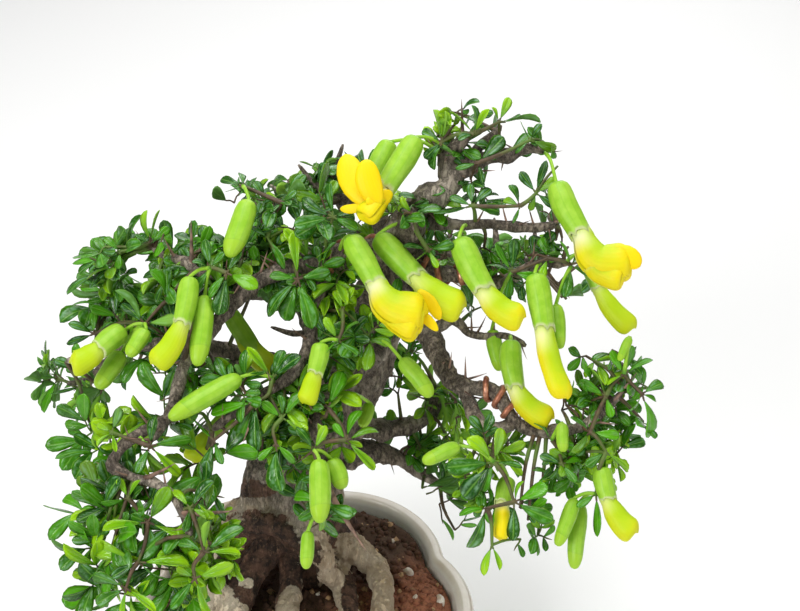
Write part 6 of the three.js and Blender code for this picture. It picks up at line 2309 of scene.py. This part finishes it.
# Stage: a pale floor, soft lights and the camera. A light is [place, target, width, watts].
FLOOR_REACH = 3000
WORLD_LIGHT = 0.22
LIGHTS = {
    "overhead": [(-0.05, 0.08, 0.75), (0.0, 0.0, 0.1), 0.6, 3.7],
    "front_left": [(-0.5, -0.65, 0.55), (0.02, 0.0, 0.11), 0.4, 4.3],
    "front_right": [(0.65, -0.45, 0.35), (0.02, 0.0, 0.11), 0.6, 1.6],
    "back": [(0.15, 0.7, 0.55), (0.0, 0.0, 0.12), 0.6, 2.4],
}


def aimed(location, target):
    way = Vector(target) - Vector(location)
    return way.to_track_quat("-Z", "Y").to_euler()


def make_stage():
    form = Form()
    edges = (-FLOOR_REACH, FLOOR_REACH)
    floor_rows = [[[x, y, 0.0] for x in edges] for y in edges]
    form.grid(np.array(floor_rows))
    floor = shown("floor", form.mesh("floor"), finish("floor"))
    for name, (location, target, size, power) in LIGHTS.items():
        light = bpy.data.lights.new(name, "AREA")
        light.shape = "DISK"
        light.size = size
        light.energy = power
        lamp = bpy.data.objects.new(name, light)
        lamp.location = location
        lamp.rotation_euler = aimed(location, target)
        bpy.context.scene.collection.objects.link(lamp)
    world = bpy.data.worlds.new("White Studio")
    world.use_nodes = True
    world.node_tree.nodes["Background"].inputs["Color"].default_value = (1, 1, 1, 1)
    world.node_tree.nodes["Background"].inputs["Strength"].default_value = WORLD_LIGHT
    bpy.context.scene.world = world
    bpy.context.scene.view_settings.view_transform = "Standard"
    make_camera()


def make_camera():
    data = bpy.data.cameras.new("view")
    data.sensor_width = 36
    data.lens = FOCAL / PICTURE_WIDTH * data.sensor_width
    data.clip_start = 0.01
    camera = bpy.data.objects.new("view", data)
    turn = Matrix((ACROSS, SIGHT_UP, -SIGHT)).transposed().to_4x4()
    camera.matrix_world = Matrix.Translation(Vector((TARGET - SIGHT * DISTANCE) * MM)) @ turn
    bpy.context.scene.collection.objects.link(camera)
    bpy.context.scene.camera = camera


# Operators, one for each group of pieces
class BONSAI_OT_pot(bpy.types.Operator):
    """Make the lobed, glazed pot"""

    bl_idname = "bonsai.pot"
    bl_label = "Glazed Pot"

    def execute(self, context):
        make_pot()
        return {"FINISHED"}


class BONSAI_OT_soil(bpy.types.Operator):
    """Fill the pot with soil, crumbs and pebbles"""

    bl_idname = "bonsai.soil"
    bl_label = "Soil"

    def execute(self, context):
        make_soil()
        return {"FINISHED"}


class BONSAI_OT_wood(bpy.types.Operator):
    """Grow the roots, the trunk, the branches and their thorns"""

    bl_idname = "bonsai.wood"
    bl_label = "Wood and Thorns"

    def execute(self, context):
        make_trunk()
        make_branches()
        make_thorns()
        return {"FINISHED"}


class BONSAI_OT_wires(bpy.types.Operator):
    """Wind the copper wire round its branches"""

    bl_idname = "bonsai.wires"
    bl_label = "Bonsai Wire"

    def execute(self, context):
        make_wires()
        return {"FINISHED"}


class BONSAI_OT_blooms(bpy.types.Operator):
    """Make the flowers with their calyces"""

    bl_idname = "bonsai.blooms"
    bl_label = "Flowers"

    def execute(self, context):
        make_blooms()
        return {"FINISHED"}


class BONSAI_OT_front_leaves(bpy.types.Operator):
    """Grow the leafy stems at the front of the crown"""

    bl_idname = "bonsai.front_leaves"
    bl_label = "Front Leaves"

    def execute(self, context):
        filling = thickets()
        for number, (name, table) in enumerate(SPRAYS.items()):
            grow_spray(number, name, table, filling[name])
        return {"FINISHED"}


class BONSAI_OT_back_leaves(bpy.types.Operator):
    """Grow the leafy stems at the sides and the back of the crown"""

    bl_idname = "bonsai.back_leaves"
    bl_label = "Back Leaves"

    def execute(self, context):
        for number, (name, values) in enumerate(RULED_SPRAYS.items()):
            grow_ruled_spray(number, name, *values)
        return {"FINISHED"}


class BONSAI_OT_stage(bpy.types.Operator):
    """Set the pale floor, the soft lights and the camera"""

    bl_idname = "bonsai.stage"
    bl_label = "Stage"

    def execute(self, context):
        make_stage()
        return {"FINISHED"}


class BONSAI_PT_panel(bpy.types.Panel):
    """The bonsai's pieces, sizes and colours"""

    bl_idname = "BONSAI_PT_panel"
    bl_label = "Caragana Bonsai"
    bl_space_type = "VIEW_3D"
    bl_region_type = "UI"
    bl_category = "Bonsai"

    def draw(self, context):
        layout = self.layout
        for operator in OPERATORS:
            layout.operator(operator.bl_idname)
        for group in (context.scene.bonsai_sizes, context.scene.bonsai_colours):
            box = layout.box()
            for key in group.__annotations__:
                box.prop(group, key)


OPERATORS = (
    BONSAI_OT_pot,
    BONSAI_OT_soil,
    BONSAI_OT_wood,
    BONSAI_OT_wires,
    BONSAI_OT_blooms,
    BONSAI_OT_front_leaves,
    BONSAI_OT_back_leaves,
    BONSAI_OT_stage,
)
CLASSES = (BonsaiSizes, BonsaiColours, *OPERATORS, BONSAI_PT_panel)


def register():
    for kind in CLASSES:
        bpy.utils.register_class(kind)
    bpy.types.Scene.bonsai_sizes = PointerProperty(type=BonsaiSizes)
    bpy.types.Scene.bonsai_colours = PointerProperty(type=BonsaiColours)


def unregister():
    del bpy.types.Scene.bonsai_sizes
    del bpy.types.Scene.bonsai_colours
    for kind in reversed(CLASSES):
        bpy.utils.unregister_class(kind)


def main():
    register()
    trace_limbs()
    bpy.ops.bonsai.pot()
    bpy.ops.bonsai.soil()
    bpy.ops.bonsai.wood()
    bpy.ops.bonsai.wires()
    bpy.ops.bonsai.blooms()
    bpy.ops.bonsai.front_leaves()
    bpy.ops.bonsai.back_leaves()
    bpy.ops.bonsai.stage()


if __name__ == "__main__":
    main()
